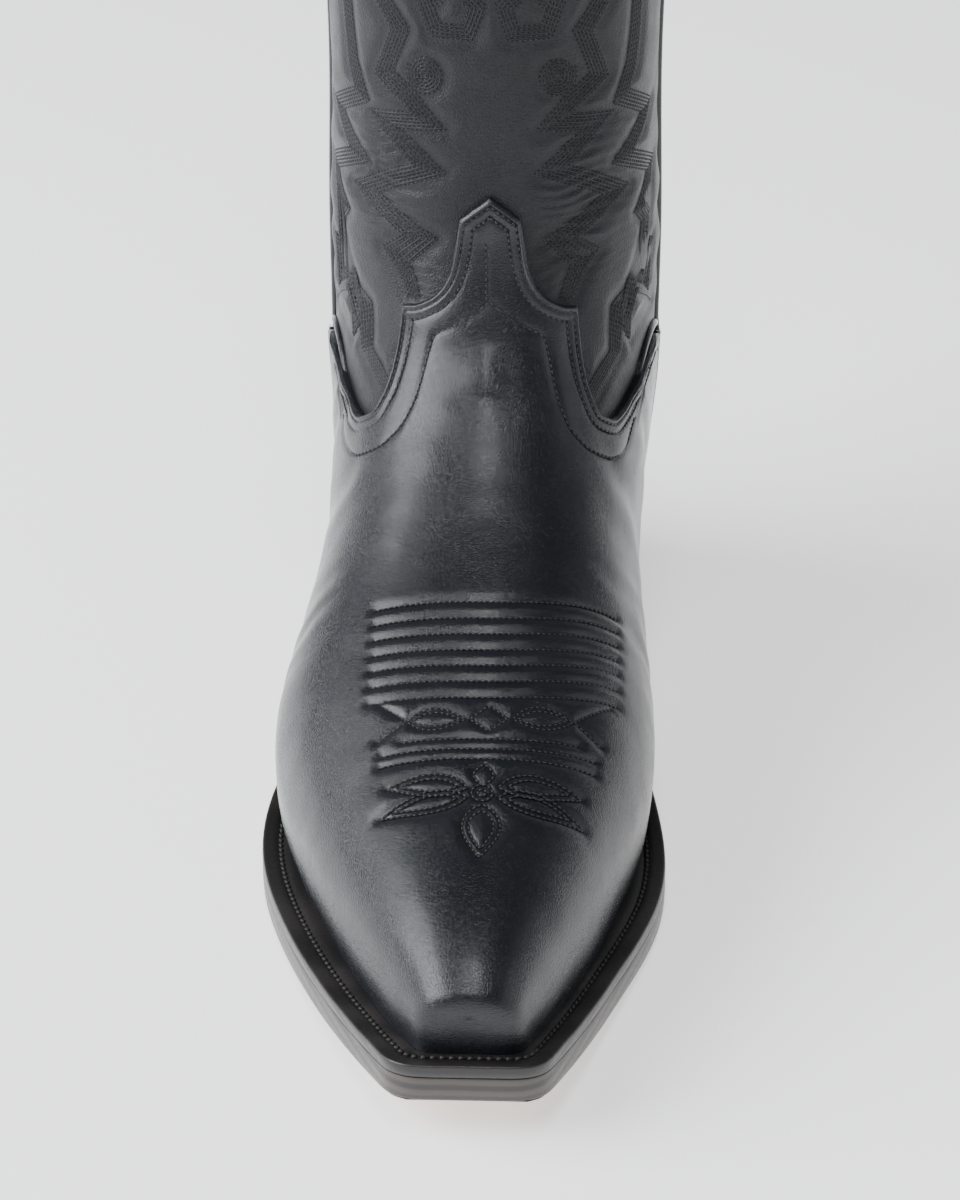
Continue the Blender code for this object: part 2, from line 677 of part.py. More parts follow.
# ---------------------------------------------------------------- the boot
clear_scene()
parts = collection("western_boot")
black = material("black_leather", (0.012, 0.013, 0.016), 0.34)
edge_black = material("black_edge", (0.016, 0.013, 0.012), 0.30)
sole_leather = material("sole_leather", (0.42, 0.25, 0.13), 0.50)
raw_leather = material("insole_leather", (0.55, 0.38, 0.24), 0.75)
tan = material("lining_leather", (0.50, 0.33, 0.19), 0.60)
fibre = material("stiffener_board", (0.36, 0.28, 0.20), 0.85)
canvas = material("backing_cloth", (0.62, 0.58, 0.50), 0.90)
cork = material("cork", (0.40, 0.26, 0.15), 0.95)
rubber = material("heel_rubber", (0.015, 0.015, 0.015), 0.80)
steel = material("spring_steel", (0.45, 0.45, 0.47), 0.35, 1.0)

make_upper()
make_side_piping()
make_binding()
make_pull_straps()
make_sole()
make_heel()
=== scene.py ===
"""Looks of the western boot: stitched black leather, welt, stacked heel and pull straps."""
import math

import bpy
import numpy as np
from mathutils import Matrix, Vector, noise
from mathutils.kdtree import KDTree


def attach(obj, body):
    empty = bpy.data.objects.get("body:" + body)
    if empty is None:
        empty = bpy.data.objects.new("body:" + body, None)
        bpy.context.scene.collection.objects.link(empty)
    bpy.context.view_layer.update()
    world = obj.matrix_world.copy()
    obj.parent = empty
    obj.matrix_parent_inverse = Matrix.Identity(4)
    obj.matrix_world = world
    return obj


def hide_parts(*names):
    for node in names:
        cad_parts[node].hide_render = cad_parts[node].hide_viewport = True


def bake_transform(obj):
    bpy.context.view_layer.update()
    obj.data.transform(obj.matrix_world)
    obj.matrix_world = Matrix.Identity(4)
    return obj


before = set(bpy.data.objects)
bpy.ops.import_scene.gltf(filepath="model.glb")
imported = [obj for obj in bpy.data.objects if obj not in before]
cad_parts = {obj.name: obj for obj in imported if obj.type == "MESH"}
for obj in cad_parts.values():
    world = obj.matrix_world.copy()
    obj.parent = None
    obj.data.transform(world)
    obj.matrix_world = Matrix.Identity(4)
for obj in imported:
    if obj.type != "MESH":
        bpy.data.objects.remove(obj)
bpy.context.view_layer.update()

# ---------------------------------------------------------------- sizes shared with the CAD part
# Lengths are millimetres in the boot's own frame: x across (medial positive), d back from the
# outsole's tip, z height. place() turns them into the row frame's metres.
MM = 0.001
BOOT_LENGTH = 313.6
AXIS_SHIFT = 0.4
SOLE_DEPTH = 10.3
HEEL_END = 308.5
SKIN = 2.35
LEATHER = 1.8
LINING_FACE = -2.3
LINING = 1.2
WALL = LINING - LINING_FACE
SIDE_SEAM = 0.5
SEAM_D = (243.0, 236.0)
SEAM_GAP = 0.05
EAR_SHARE = 0.53
STRAP_WIDTH = 24.0
LOOP_HEIGHT = 24.0
LOOP_INNER = 4.2
LOOP_THICK = 1.8
GIRTH = 150.0               # of the leg, from the middle of the front to the middle of the back
SIDES = ((-1.0, "lateral"), (1.0, "medial"))
UP = np.array([0.0, 0.0, 1.0])

# One row for each section of the last: front d, front z, back d, back z (None: on the welt),
# half widths lateral and medial, sole edge shares of those, height share of the widest point,
# and the superellipse powers of the upper and the lower half.
STATIONS = (
    (9.0, 31.0, 9.0, None, 0.0, 0.0, 1.00, 1.00, 0.22, 2.8, 2.2),
    (9.3, 34.0, 9.2, None, 9.0, 9.0, 1.00, 1.00, 0.22, 2.8, 2.2),
    (14.5, 38.4, 13.0, None, 12.6, 12.2, 0.99, 0.99, 0.23, 2.6, 2.2),
    (25.0, 43.0, 24.0, None, 18.6, 17.0, 0.97, 0.97, 0.25, 2.4, 2.2),
    (40.0, 48.0, 40.0, None, 26.0, 23.2, 0.95, 0.96, 0.28, 2.3, 2.2),
    (58.0, 53.2, 58.0, None, 34.2, 29.6, 0.93, 0.94, 0.31, 2.25, 2.2),
    (78.0, 58.8, 78.0, None, 42.0, 35.8, 0.92, 0.93, 0.33, 2.2, 2.2),
    (98.0, 65.4, 99.0, None, 48.6, 40.6, 0.93, 0.94, 0.34, 2.2, 2.2),
    (116.0, 72.4, 122.0, None, 52.2, 43.0, 0.93, 0.94, 0.34, 2.15, 2.2),
    (133.0, 80.4, 146.0, None, 50.6, 42.4, 0.91, 0.90, 0.34, 2.1, 2.1),
    (149.0, 89.4, 171.0, None, 46.6, 40.6, 0.84, 0.80, 0.35, 2.1, 2.0),
    (163.0, 99.4, 197.0, None, 43.4, 39.6, 0.75, 0.75, 0.36, 2.1, 2.0),
    (175.0, 110.2, 224.0, None, 42.2, 40.6, 0.72, 0.74, 0.38, 2.1, 2.0),
    (184.0, 121.6, 251.0, None, 42.8, 42.4, 0.74, 0.75, 0.42, 2.1, 2.1),
    (189.6, 133.4, 277.0, None, 44.2, 44.2, 0.67, 0.67, 0.46, 2.15, 2.1),
    (192.6, 143.6, 299.0, None, 45.4, 45.4, 0.40, 0.40, 0.49, 2.2, 2.1),
    (193.8, 152.0, 304.4, None, 45.9, 45.9, 0.0, 0.0, 0.50, 2.25, 2.1),
    (194.3, 160.0, 305.4, 66.0, 46.0, 46.0, 0.0, 0.0, 0.50, 2.25, 2.1),
    (194.7, 170.5, 304.0, 86.0, 46.0, 46.0, 0.0, 0.0, 0.50, 2.3, 2.1),
    (194.8, 182.0, 299.5, 108.0, 45.6, 45.6, 0.0, 0.0, 0.50, 2.3, 2.15),
    (194.4, 194.0, 297.0, 131.0, 45.0, 45.0, 0.0, 0.0, 0.50, 2.3, 2.2),
    (193.0, 208.0, 297.0, 155.0, 44.6, 44.6, 0.0, 0.0, 0.50, 2.3, 2.2),
    (190.5, 225.0, 298.5, 181.0, 44.9, 44.9, 0.0, 0.0, 0.50, 2.3, 2.2),
    (186.5, 246.0, 301.5, 211.0, 46.2, 46.2, 0.0, 0.0, 0.50, 2.3, 2.2),
    (182.0, 270.0, 305.0, 243.0, 48.4, 48.4, 0.0, 0.0, 0.50, 2.3, 2.2),
    (177.0, 295.0, 308.5, 276.0, 50.5, 50.5, 0.0, 0.0, 0.50, 2.3, 2.2),
    (172.0, 320.0, 312.0, 309.0, 52.0, 52.0, 0.0, 0.0, 0.50, 2.3, 2.2),
    (167.0, 345.0, 315.0, 340.0, 53.0, 53.0, 0.0, 0.0, 0.50, 2.3, 2.2),
    (163.0, 368.0, 318.0, 368.0, 53.5, 53.5, 0.0, 0.0, 0.50, 2.3, 2.2),
)
LAST_T = len(STATIONS) - 1
HEEL_BACK_T = 16.0

# The outsole at steps of KNOT from its tip: height of its underside and its two half widths
KNOT = 26.0
TREAD_Z = (12.0, 6.9, 3.4, 1.2, 0.0, 1.6, 6.4, 14.2, 22.6, 30.6, 32.8, 35.0, 37.2)
HALF_LATERAL = (17.5, 30.5, 42.0, 51.4, 57.4, 57.2, 50.5, 42.5, 37.4, 36.6, 37.0, 37.0, 37.0)
HALF_MEDIAL = (17.3, 27.5, 36.6, 45.0, 48.6, 46.6, 42.0, 37.4, 35.6, 36.0, 37.0, 37.0, 37.0)
HEEL_ROUND = 262.0          # where the seat starts to round off
HEEL_POWER = 2.3
TOE_CORNER = 4.0


# ---------------------------------------------------------------- curves and the surface
def unit(vectors):
    return vectors / np.linalg.norm(vectors, axis=-1, keepdims=True)


def spline_bends(values):
    """Second derivatives of the natural cubic spline through values at 0, 1, 2, ..."""
    values = np.asarray(values, float)
    count = len(values)
    matrix = np.eye(count) * 4.0
    matrix[0, 0] = 1.0
    matrix[-1, -1] = 1.0
    for i in range(1, count - 1):
        matrix[i, i - 1] = 1.0
        matrix[i, i + 1] = 1.0
    right = np.zeros_like(values)
    right[1:-1] = 6.0 * (values[2:] - 2.0 * values[1:-1] + values[:-2])
    return np.linalg.solve(matrix, right)


def spline_at(values, bends, t):
    """That spline at t, for one curve or for a table with a curve in each column."""
    t = np.asarray(t, float)
    i = np.clip(np.floor(t).astype(int), 0, len(values) - 2)
    f = t - i
    if values.ndim > 1:
        f = f[..., None]
    g = 1.0 - f
    cubic = ((g ** 3 - g) * bends[i] + (f ** 3 - f) * bends[i + 1]) / 6.0
    return g * values[i] + f * values[i + 1] + cubic


def knot_curve(values):
    """Curve over d through values at even steps of KNOT."""
    values = np.array(values, float)
    bends = spline_bends(values)
    return lambda d: spline_at(values, bends, np.asarray(d, float) / KNOT)


tread_curve = knot_curve(TREAD_Z)
half_curves = {-1: knot_curve(HALF_LATERAL), 1: knot_curve(HALF_MEDIAL)}


def tread(d):
    """Height of the outsole's underside."""
    return np.maximum(tread_curve(np.clip(d, 0.0, KNOT * (len(TREAD_Z) - 1))), 0.0)


def sole_half_width(d, side):
    """Half width of the outsole on its lateral (-1) or medial (1) side."""
    d = np.asarray(d, float)
    corner = TOE_CORNER * (1.0 - np.clip(d / TOE_CORNER, 0.0, 1.0)) ** 2
    back = np.clip((d - HEEL_ROUND) / (HEEL_END - HEEL_ROUND), 0.0, 1.0)
    return (half_curves[side](d) - corner) * (1.0 - back ** HEEL_POWER) ** (1.0 / HEEL_POWER)


def station_table():
    """The stations, with the back heights that rest on the welt filled in."""
    rows = []
    for row in STATIONS:
        back_z = row[3]
        if back_z is None:
            back_z = float(tread(row[2])) + SOLE_DEPTH
        rows.append(row[:3] + (back_z,) + row[4:])
    return np.array(rows, float)


STATION_VALUES = station_table()
STATION_BENDS = spline_bends(STATION_VALUES)


def on_last(t, a):
    """Point of the last: section t, and a from -1 (lateral sole edge) by 0 (ridge) to 1."""
    t, a = np.broadcast_arrays(np.asarray(t, float), np.asarray(a, float))
    columns = np.moveaxis(spline_at(STATION_VALUES, STATION_BENDS, t), -1, 0)
    front_d, front_z, back_d, back_z, lateral, medial, edge_l, edge_m, widest, top_n, low_n = columns
    back_z = np.where(t <= HEEL_BACK_T, tread(back_d) + SOLE_DEPTH, back_z)
    is_medial = a > 0
    width = np.where(is_medial, medial, lateral)
    edge = np.clip(np.where(is_medial, edge_m, edge_l), 0.0, 0.995)
    edge = np.where(t >= HEEL_BACK_T, 0.0, edge)
    drop = (1.0 - edge ** low_n) ** (1.0 / low_n)
    turn = math.pi / 2 - np.abs(a) * (math.pi / 2 + np.arctan2(drop, edge))
    upper = turn >= 0
    power = np.where(upper, top_n, low_n)
    cosine = np.cos(turn)
    sine = np.sin(turn)
    radius = (np.abs(cosine) ** power + np.abs(sine) ** power) ** (-1.0 / power)
    x = width * radius * cosine
    rise = np.where(upper, widest + (1.0 - widest) * radius * sine,
                    widest + widest / drop * radius * sine)
    d = back_d + rise * (front_d - back_d)
    z = back_z + rise * (front_z - back_z)
    return np.stack([np.where(is_medial, x, -x), d, z], -1)


def outward(t, a):
    """Unit normal of the last."""
    step = 1e-3
    t = np.asarray(t, float)
    a = np.asarray(a, float)
    inner_t = np.clip(t, 0.02, LAST_T - 0.001)
    along = on_last(inner_t + step, a) - on_last(inner_t - step, a)
    around = on_last(inner_t, np.minimum(a + step, 1)) - on_last(inner_t, np.maximum(a - step, -1))
    normal = np.cross(around, along)
    closed = (t <= 0) | ((np.abs(a) >= 1) & (t >= HEEL_BACK_T))
    normal[..., 0] = np.where(closed, 0.0, normal[..., 0])
    return unit(normal)


def layer_point(t, a, offset):
    """Point of the layer that lies offset mm outside the last."""
    return on_last(t, a) + np.asarray(offset, float)[..., None] * outward(t, a)


def feather_inward(t, side):
    """Horizontal directions from the sole edge to the boot's inside."""
    step = 1e-3
    t = np.asarray(t, float)
    tangent = (on_last(np.minimum(t + step, HEEL_BACK_T), side)
               - on_last(np.maximum(t - step, 0.0), side))
    inward = np.stack([-tangent[..., 1] * side, tangent[..., 0] * side, 0.0 * t], -1)
    ends = (t <= 0) | (t >= HEEL_BACK_T)
    inward[..., 0] = np.where(ends, 0.0, inward[..., 0])
    return unit(inward)


def eased(xs, ys):
    """Smooth curve through the points, without swinging past any of them."""
    xs = np.asarray(xs, float)
    ys = np.asarray(ys, float)
    gaps = np.diff(xs)
    slopes = np.diff(ys) / gaps
    tangents = np.concatenate([[slopes[0]], np.zeros(len(xs) - 2), [slopes[-1]]])
    for i in range(1, len(xs) - 1):
        before, after = slopes[i - 1], slopes[i]
        if before * after > 0:
            tangents[i] = 2.0 * before * after / (before + after)

    def at(x):
        x = np.clip(np.asarray(x, float), xs[0], xs[-1])
        i = np.clip(np.searchsorted(xs, x, side="right") - 1, 0, len(xs) - 2)
        f = (x - xs[i]) / gaps[i]
        low = (1.0 + 2.0 * f) * (1.0 - f) ** 2 * ys[i] + f * (1.0 - f) ** 2 * gaps[i] * tangents[i]
        high = f ** 2 * (3.0 - 2.0 * f) * ys[i + 1] - f ** 2 * (1.0 - f) * gaps[i] * tangents[i + 1]
        return low + high

    return at


def side_seam(s):
    """Section of the seam between vamp and counter cover, at share s."""
    s = np.atleast_1d(np.asarray(s, float))
    t = np.linspace(10.0, 15.9, 60)
    seam_d = np.interp(s, (EAR_SHARE, 1.0), SEAM_D)
    return np.array([np.interp(d, on_last(t, share)[:, 1], t) for share, d in zip(s, seam_d)])


# The vamp's top edge as section against share: the tongue's tip, its side, and the low scallop
TONGUE = eased((0.0, 0.03, 0.055), (16.9, 16.5, 16.15))
TONGUE_SIDE = eased((0.055, 0.063, 0.075, 0.092, 0.112, 0.142, 0.18, 0.215),
                    (16.15, 15.6, 15.0, 14.5, 14.2, 14.0, 13.93, 14.0))
EAR_SEAM = float(side_seam(EAR_SHARE)[0])
SCALLOP = eased((0.215, 0.235, 0.26, 0.29, 0.33, 0.375, 0.42, 0.463, 0.5, EAR_SHARE),
                (14.0, 13.5, 12.9, 12.42, 12.15, 12.2, 12.5, 13.0, 13.65, EAR_SEAM))
COUNTER_TOP = eased((EAR_SHARE, 0.56, 0.59, 0.65, 0.74, 0.83, 0.92, 1.0),
                    (15.6, 16.6, 17.4, 18.4, 18.9, 19.1, 19.6, 20.6))


def vamp_top(s):
    """Section of the vamp's top edge at share s, and of its seam from the ear on."""
    s = np.atleast_1d(np.asarray(s, float))
    upper = np.where(s < 0.055, TONGUE(s), np.where(s < 0.215, TONGUE_SIDE(s), SCALLOP(s)))
    return np.where(s >= EAR_SHARE, side_seam(s) - SEAM_GAP, upper)


def topline(s):
    """Section of the topline: low in front and behind, high at the side seams."""
    lift = np.sin(math.pi * np.asarray(s, float)) ** 2
    return np.where(s < SIDE_SEAM, 25.6 + 1.5 * lift, 26.1 + 1.0 * lift)


def surface_slopes(t, a):
    """How the last's point moves with the section and with the share."""
    step = 1e-3
    along = (on_last(t + step, a) - on_last(t - step, a)) / (2 * step)
    around = (on_last(t, a + step) - on_last(t, a - step)) / (2 * step)
    return along, around


def seat_on_layer(points, t, a, face):
    """Sections and shares of the layer's points nearest to the given points, from a first guess."""
    for _ in range(12):
        gap = points - layer_point(t, a, face)
        along, around = surface_slopes(t, a)
        ll = np.sum(along * along, -1)
        lr = np.sum(along * around, -1)
        rr = np.sum(around * around, -1)
        gl = np.sum(gap * along, -1)
        gr = np.sum(gap * around, -1)
        size = ll * rr - lr * lr
        t = np.clip(t + np.clip((rr * gl - lr * gr) / size, -0.5, 0.5), 0.05, LAST_T - 0.05)
        a = np.clip(a + np.clip((ll * gr - lr * gl) / size, -0.05, 0.05), -0.995, 0.995)
    return t, a


def from_plan(x, d):
    """Section and share of the upper surface of the last above plan position (x, d)."""
    sections = np.linspace(0.5, 13.0, 120)
    t = np.interp(d, on_last(sections, 0.0)[:, 1], sections)
    a = np.asarray(x, float) / 95.0
    for _ in range(14):
        point = on_last(t, a)
        along, around = surface_slopes(t, a)
        gap_x = x - point[..., 0]
        gap_d = d - point[..., 1]
        size = along[..., 0] * around[..., 1] - along[..., 1] * around[..., 0]
        step_t = (gap_x * around[..., 1] - gap_d * around[..., 0]) / size
        step_a = (gap_d * along[..., 0] - gap_x * along[..., 1]) / size
        t = np.clip(t + np.clip(step_t, -0.6, 0.6), 0.1, 13.5)
        a = np.clip(a + np.clip(step_a, -0.08, 0.08), -0.9, 0.9)
    return t, a


def from_leg(u, z):
    """Section and share of the leg's point at u mm round from the front's middle and height z."""
    a = np.asarray(u, float) / GIRTH
    sections = np.linspace(11.0, LAST_T - 0.05, 200)
    t = np.interp(z, on_last(sections, 0.0)[:, 2], sections)
    for _ in range(14):
        along, _ = surface_slopes(t, a)
        step = np.clip((z - on_last(t, a)[..., 2]) / along[..., 2], -1, 1)
        t = np.clip(t + step, 10, LAST_T - 0.05)
    return t, a


# ---------------------------------------------------------------- meshes
def place(points):
    """The boot's millimetres as metres in the row frame."""
    points = np.asarray(points, float)
    shift = np.array([AXIS_SHIFT, -BOOT_LENGTH / 2, 0.0])
    return (points + shift) * MM


def add_mesh(name, points, faces, material, smooth_angle=50.0):
    mesh = bpy.data.meshes.new(name)
    mesh.from_pydata(place(points).tolist(), [], faces)
    mesh.materials.append(material)
    mesh.shade_smooth()
    if smooth_angle < 180.0:
        mesh.set_sharp_from_angle(angle=math.radians(smooth_angle))
    made = bpy.data.objects.new(name, mesh)
    bpy.context.scene.collection.objects.link(made)
    return made


def grid_faces(rows, columns, start=0, closed=False, flip=False):
    """Quads of a grid of points that is stored row by row."""
    spans = columns if closed else columns - 1
    r, c = np.meshgrid(np.arange(rows - 1), np.arange(spans), indexing="ij")
    after = (c + 1) % columns
    quads = np.stack([r * columns + c, r * columns + after,
                      (r + 1) * columns + after, (r + 1) * columns + c], -1).reshape(-1, 4)
    if flip:
        quads = quads[:, ::-1]
    return (quads + start).tolist()


def add_grid(name, grid, material, smooth_angle=50.0, closed=False, flip=False):
    """A surface through a grid of points; closed joins its last column to the first."""
    faces = grid_faces(*grid.shape[:2], closed=closed, flip=flip)
    return add_mesh(name, grid.reshape(-1, 3), faces, material, smooth_angle)


def add_copies(name, shape, shape_faces, places, material):
    """One mesh with a small shape at each place, given as its origin and its three axes."""
    points = np.concatenate([origin + shape @ axes for origin, axes in places])
    faces = [tuple(i * len(shape) + k for k in face)
             for i in range(len(places)) for face in shape_faces]
    return add_mesh(name, points, faces, material, 180.0)


def kd_tree(points):
    tree = KDTree(len(points))
    for i, point in enumerate(points):
        tree.insert(point, i)
    tree.balance()
    return tree


def distance_to(points, samples):
    """Distance from each point to the nearest sample."""
    tree = kd_tree(samples)
    flat = np.asarray(points, float).reshape(-1, 3)
    found = np.array([tree.find(point)[2] for point in flat])
    return found.reshape(np.shape(points)[:-1])


def wobble(points, size, seed):
    """Smooth noise from about -1 to 1, with features of the given size in mm."""
    shift = Vector((seed * 17.3, seed * 5.1, seed * 9.7))
    flat = np.asarray(points, float).reshape(-1, 3) / size
    values = np.array([noise.noise(Vector(point) + shift) for point in flat])
    return values.reshape(np.shape(points)[:-1])


def resample(points, step):
    """Evenly spaced points along a polyline, about step apart."""
    points = np.asarray(points, float)
    lengths = np.concatenate([[0.0], np.cumsum(np.linalg.norm(np.diff(points, axis=0), axis=1))])
    count = max(int(round(lengths[-1] / step)), 1)
    marks = np.linspace(0.0, lengths[-1], count + 1)
    return np.stack([np.interp(marks, lengths, points[:, k]) for k in range(points.shape[1])], -1)


def dense(points, step):
    """The polyline with points added between its corners, at most step apart."""
    points = np.asarray(points, float)
    pieces = []
    for first, second in zip(points[:-1], points[1:]):
        count = max(int(np.ceil(np.linalg.norm(second - first) / step)), 1)
        pieces.append(first + (second - first) * np.arange(count)[:, None] / count)
    return np.concatenate(pieces + [points[-1:]])


# ---------------------------------------------------------------- stitching
STITCH_SIDES = 5
HOLE_SIDES = 7


def stitch_shape(length, radius):
    """One stitch: a short thread that dips into the leather at both ends."""
    turns = np.arange(STITCH_SIDES) * 2.0 * math.pi / STITCH_SIDES
    points = [(-length / 2, 0.0, -radius * 1.3)]
    for along in (-length * 0.27, length * 0.27):
        points += [(along, radius * math.cos(u), radius * math.sin(u)) for u in turns]
    points.append((length / 2, 0.0, -radius * 1.3))
    n = STITCH_SIDES
    faces = []
    for i in range(n):
        j = (i + 1) % n
        faces.append((0, 1 + j, 1 + i))
        faces.append((1 + i, 1 + j, 1 + n + j, 1 + n + i))
        faces.append((1 + n + i, 1 + n + j, 2 * n + 1))
    return np.array(points), faces


def add_stitches(name, rows, pitch, length, radius, lift, material, slant=0.0):
    """Stitches of one thread along rows, each a pair of arrays: points and surface normals."""
    places = []
    for row in rows:
        both = resample(np.concatenate(row, axis=1), pitch)
        spots = 0.5 * (both[1:, :3] + both[:-1, :3])
        ups = both[1:, 3:] + both[:-1, 3:]
        ways = both[1:, :3] - both[:-1, :3]
        for spot, up, way in zip(spots, ups, ways):
            reach = np.linalg.norm(way)
            if reach < 0.3 * pitch or reach > 1.6 * pitch:
                continue
            way = way / reach
            up = up / np.linalg.norm(up)
            turned = math.cos(slant) * way + math.sin(slant) * np.cross(up, way)
            places.append((spot + lift * up, np.stack([turned, np.cross(up, turned), up])))
    return add_copies(name, *stitch_shape(length, radius), places, material)


def add_holes(name, rows, pitch, radius, lift):
    """Needle holes along rows of points and normals, as small matt hollows painted near-black: painted
    shade inside the holes.
    """
    turns = np.arange(HOLE_SIDES) * 2.0 * math.pi / HOLE_SIDES
    shape = [(1.25 * radius * math.cos(u), 0.85 * radius * math.sin(u), 0.0) for u in turns]
    shape = np.array(shape + [(0.0, 0.0, -0.7 * radius)])
    shape_faces = [(i, (i + 1) % HOLE_SIDES, HOLE_SIDES) for i in range(HOLE_SIDES)]
    places = []
    for row in rows:
        both = resample(np.concatenate(row, axis=1), pitch)
        if len(both) < 3:
            continue
        ways = np.gradient(both[:, :3], axis=0)
        for spot, up, way in zip(both[:, :3], both[:, 3:], ways):
            across = np.cross(up, way)
            across /= np.linalg.norm(across)
            places.append((spot + lift * up, np.stack([np.cross(across, up), across, up])))
    return add_copies(name, shape, shape_faces, places, hole_painted_shade)


def chart_rows(centre, offsets):
    """Rows parallel to a polyline in a flat chart, with mitred corners."""
    centre = np.asarray(centre, float)
    ways = unit(np.diff(centre, axis=0))
    sides = np.stack([-ways[:, 1], ways[:, 0]], -1)
    mitres = [sides[0]]
    for before, after in zip(sides[:-1], sides[1:]):
        joint = before + after
        joint /= np.linalg.norm(joint)
        mitres.append(joint / max(float(joint @ after), 0.45))
    mitres.append(sides[-1])
    return [centre + offset * np.array(mitres) for offset in offsets]


def spiral(middle, first, last, turns, start):
    """Chart points of a spiral from radius first to radius last."""
    angle = np.linspace(0.0, turns * 2.0 * math.pi, int(turns * 22) + 1)
    radius = np.linspace(first, last, len(angle))
    return np.stack([middle[0] + radius * np.cos(start + angle),
                     middle[1] + radius * np.sin(start + angle)], -1)


def leaf(root, tip, width, belly=0.45):
    """Closed leaf outline in a flat chart, from its root to its tip and back."""
    root = np.asarray(root, float)
    tip = np.asarray(tip, float)
    way = tip - root
    side = np.array([-way[1], way[0]]) / np.linalg.norm(way)
    share = np.linspace(0.0, 1.0, 13)
    swell = np.sin(math.pi * share ** (math.log(0.5) / math.log(belly))) * width / 2
    upper = root + share[:, None] * way + swell[:, None] * side
    lower = root + share[::-1, None] * way - swell[::-1, None] * side
    return np.concatenate([upper, lower[1:]])


# Toe stitching, in plan
ROW_BEND = (3.0, 9.5)       # how far a row's ends lie behind its middle, at x -30 and +30


def bent_row(x_from, x_to, middle_d, flatness=1.0):
    """A row across the toe that bends back towards its ends."""
    x = np.linspace(x_from, x_to, 40)
    bend = np.where(x < 0.0, ROW_BEND[0], ROW_BEND[1]) * flatness
    return np.stack([x, middle_d + bend * (x / 30.0) ** 2], -1)


def toe_rows():
    """Stitch rows over the toe: seven arches, a row of leaves, three rows and a flower."""
    rows = []
    for middle_d in (122.6, 117.9, 113.2, 108.4, 103.7, 98.8, 93.8):
        rows.append(bent_row(-27.0, 33.5, middle_d))
    leaf_row = 87.0
    left_tail = (-17.5, leaf_row + 1.0)
    right_tail = (23.0, leaf_row + 5.2)
    rows.append(np.array([(-25.5, 96.0), left_tail, (-24.5, 84.0)]))
    rows.append(np.array([(32.0, 103.4), right_tail, (29.5, 90.0)]))
    for width in (6.6, 4.2):
        inset = 0.5 * (6.6 - width)
        rows.append(leaf((-17.5 + inset, leaf_row + 1.0), (-3.0 - inset, leaf_row), width))
        rows.append(leaf((8.4 + inset, leaf_row + 0.8), (23.0 - inset, leaf_row + 5.2), width))
    rows.append(np.array([(-2.0, leaf_row), (2.6, leaf_row + 4.4), (7.2, leaf_row + 0.6),
                          (2.6, leaf_row - 3.6), (-2.0, leaf_row)]))
    rows.append(bent_row(-18.5, 24.0, 80.9, 0.8))
    rows.append(bent_row(-23.0, 28.0, 77.8, 0.8))
    rows.append(bent_row(-23.3, 27.8, 74.7, 0.75))
    heart = (1.5, 64.0)
    petals = (((-2.0, 65.6), (-21.5, 68.8), 6.8), ((-2.0, 62.6), (-22.5, 60.6), 6.8),
              ((5.4, 66.0), (25.0, 71.2), 6.8), ((5.4, 62.8), (25.2, 63.4), 6.8),
              ((1.7, 60.4), (1.4, 44.0), 9.0))
    for root, tip, width in petals:
        root = np.array(root)
        tip = np.array(tip)
        rows.append(leaf(root, tip, width, 0.4))
        rows.append(leaf(root + 0.12 * (tip - root), tip - 0.16 * (tip - root), width - 3.0, 0.4))
    rows.append(leaf((1.6, 66.2), (1.9, 73.0), 5.0, 0.5))
    ring = np.linspace(0.0, 2.0 * math.pi, 20)
    for radius in (1.2, 2.6):
        rows.append(np.stack([heart[0] + radius * np.cos(ring), heart[1] + radius * np.sin(ring)], -1))
    return rows


# Leg stitching, as (mm round from the front's middle, height)
OUTER_BAND = ((0.0, 312.0), (14.0, 300.0), (26.0, 292.0), (37.0, 300.0), (44.0, 284.0), (37.0, 268.0),
              (53.0, 258.0), (44.0, 246.0), (57.0, 236.0), (45.0, 226.0), (48.0, 212.0), (46.5, 200.0),
              (44.5, 190.0), (40.0, 181.5), (54.5, 174.5), (47.0, 169.0), (40.5, 164.0), (58.5, 156.0),
              (49.5, 146.0), (61.0, 134.0), (51.0, 123.0), (57.0, 111.0), (46.0, 105.0))
INNER_BAND = ((0.0, 270.0), (13.0, 260.0), (5.0, 250.0), (20.0, 244.0), (12.0, 232.0), (31.0, 226.0),
              (33.0, 212.0), (26.0, 203.0), (31.5, 190.0), (23.0, 184.5), (17.5, 178.5), (31.0, 177.0),
              (23.0, 170.5), (17.0, 165.5), (28.0, 161.0), (38.0, 155.5), (29.0, 150.5), (20.5, 146.0),
              (30.0, 139.5), (29.5, 127.0), (34.0, 116.0), (43.0, 108.0))
TOP_CURL = ((0.0, 238.0), (9.0, 226.0), (20.0, 214.0), (16.0, 203.5), (6.0, 203.0), (3.0, 211.0),
            (9.0, 216.0))
BAND_OFFSETS = (-2.5, -1.5, -0.5, 0.5, 1.5, 2.5)


def leg_rows(front):
    """Chart rows of the stitching on the front or the back half of the leg."""
    rows = chart_rows(OUTER_BAND, BAND_OFFSETS)
    rows += chart_rows(INNER_BAND, BAND_OFFSETS)
    rows += chart_rows(TOP_CURL, BAND_OFFSETS[:5])
    rows.append(spiral((18.6, 191.2), 0.8, 5.6, 5.0, 0.4))
    rows.append(spiral((16.0, 213.0), 0.8, 3.4, 3.0, 0.4))
    return on_both_sides(rows, front)


def leg_ridges(front):
    """Chart lines of the fine ridges that stand between the rows of a band."""
    between = [0.5 * (low + high) for low, high in zip(BAND_OFFSETS[:-1], BAND_OFFSETS[1:])]
    lines = chart_rows(OUTER_BAND, between)
    lines += chart_rows(INNER_BAND, between)
    lines += chart_rows(TOP_CURL, between[:4])
    lines.append(spiral((18.6, 191.2), 0.4, 5.1, 5.0, 0.4))
    return on_both_sides(lines, front)


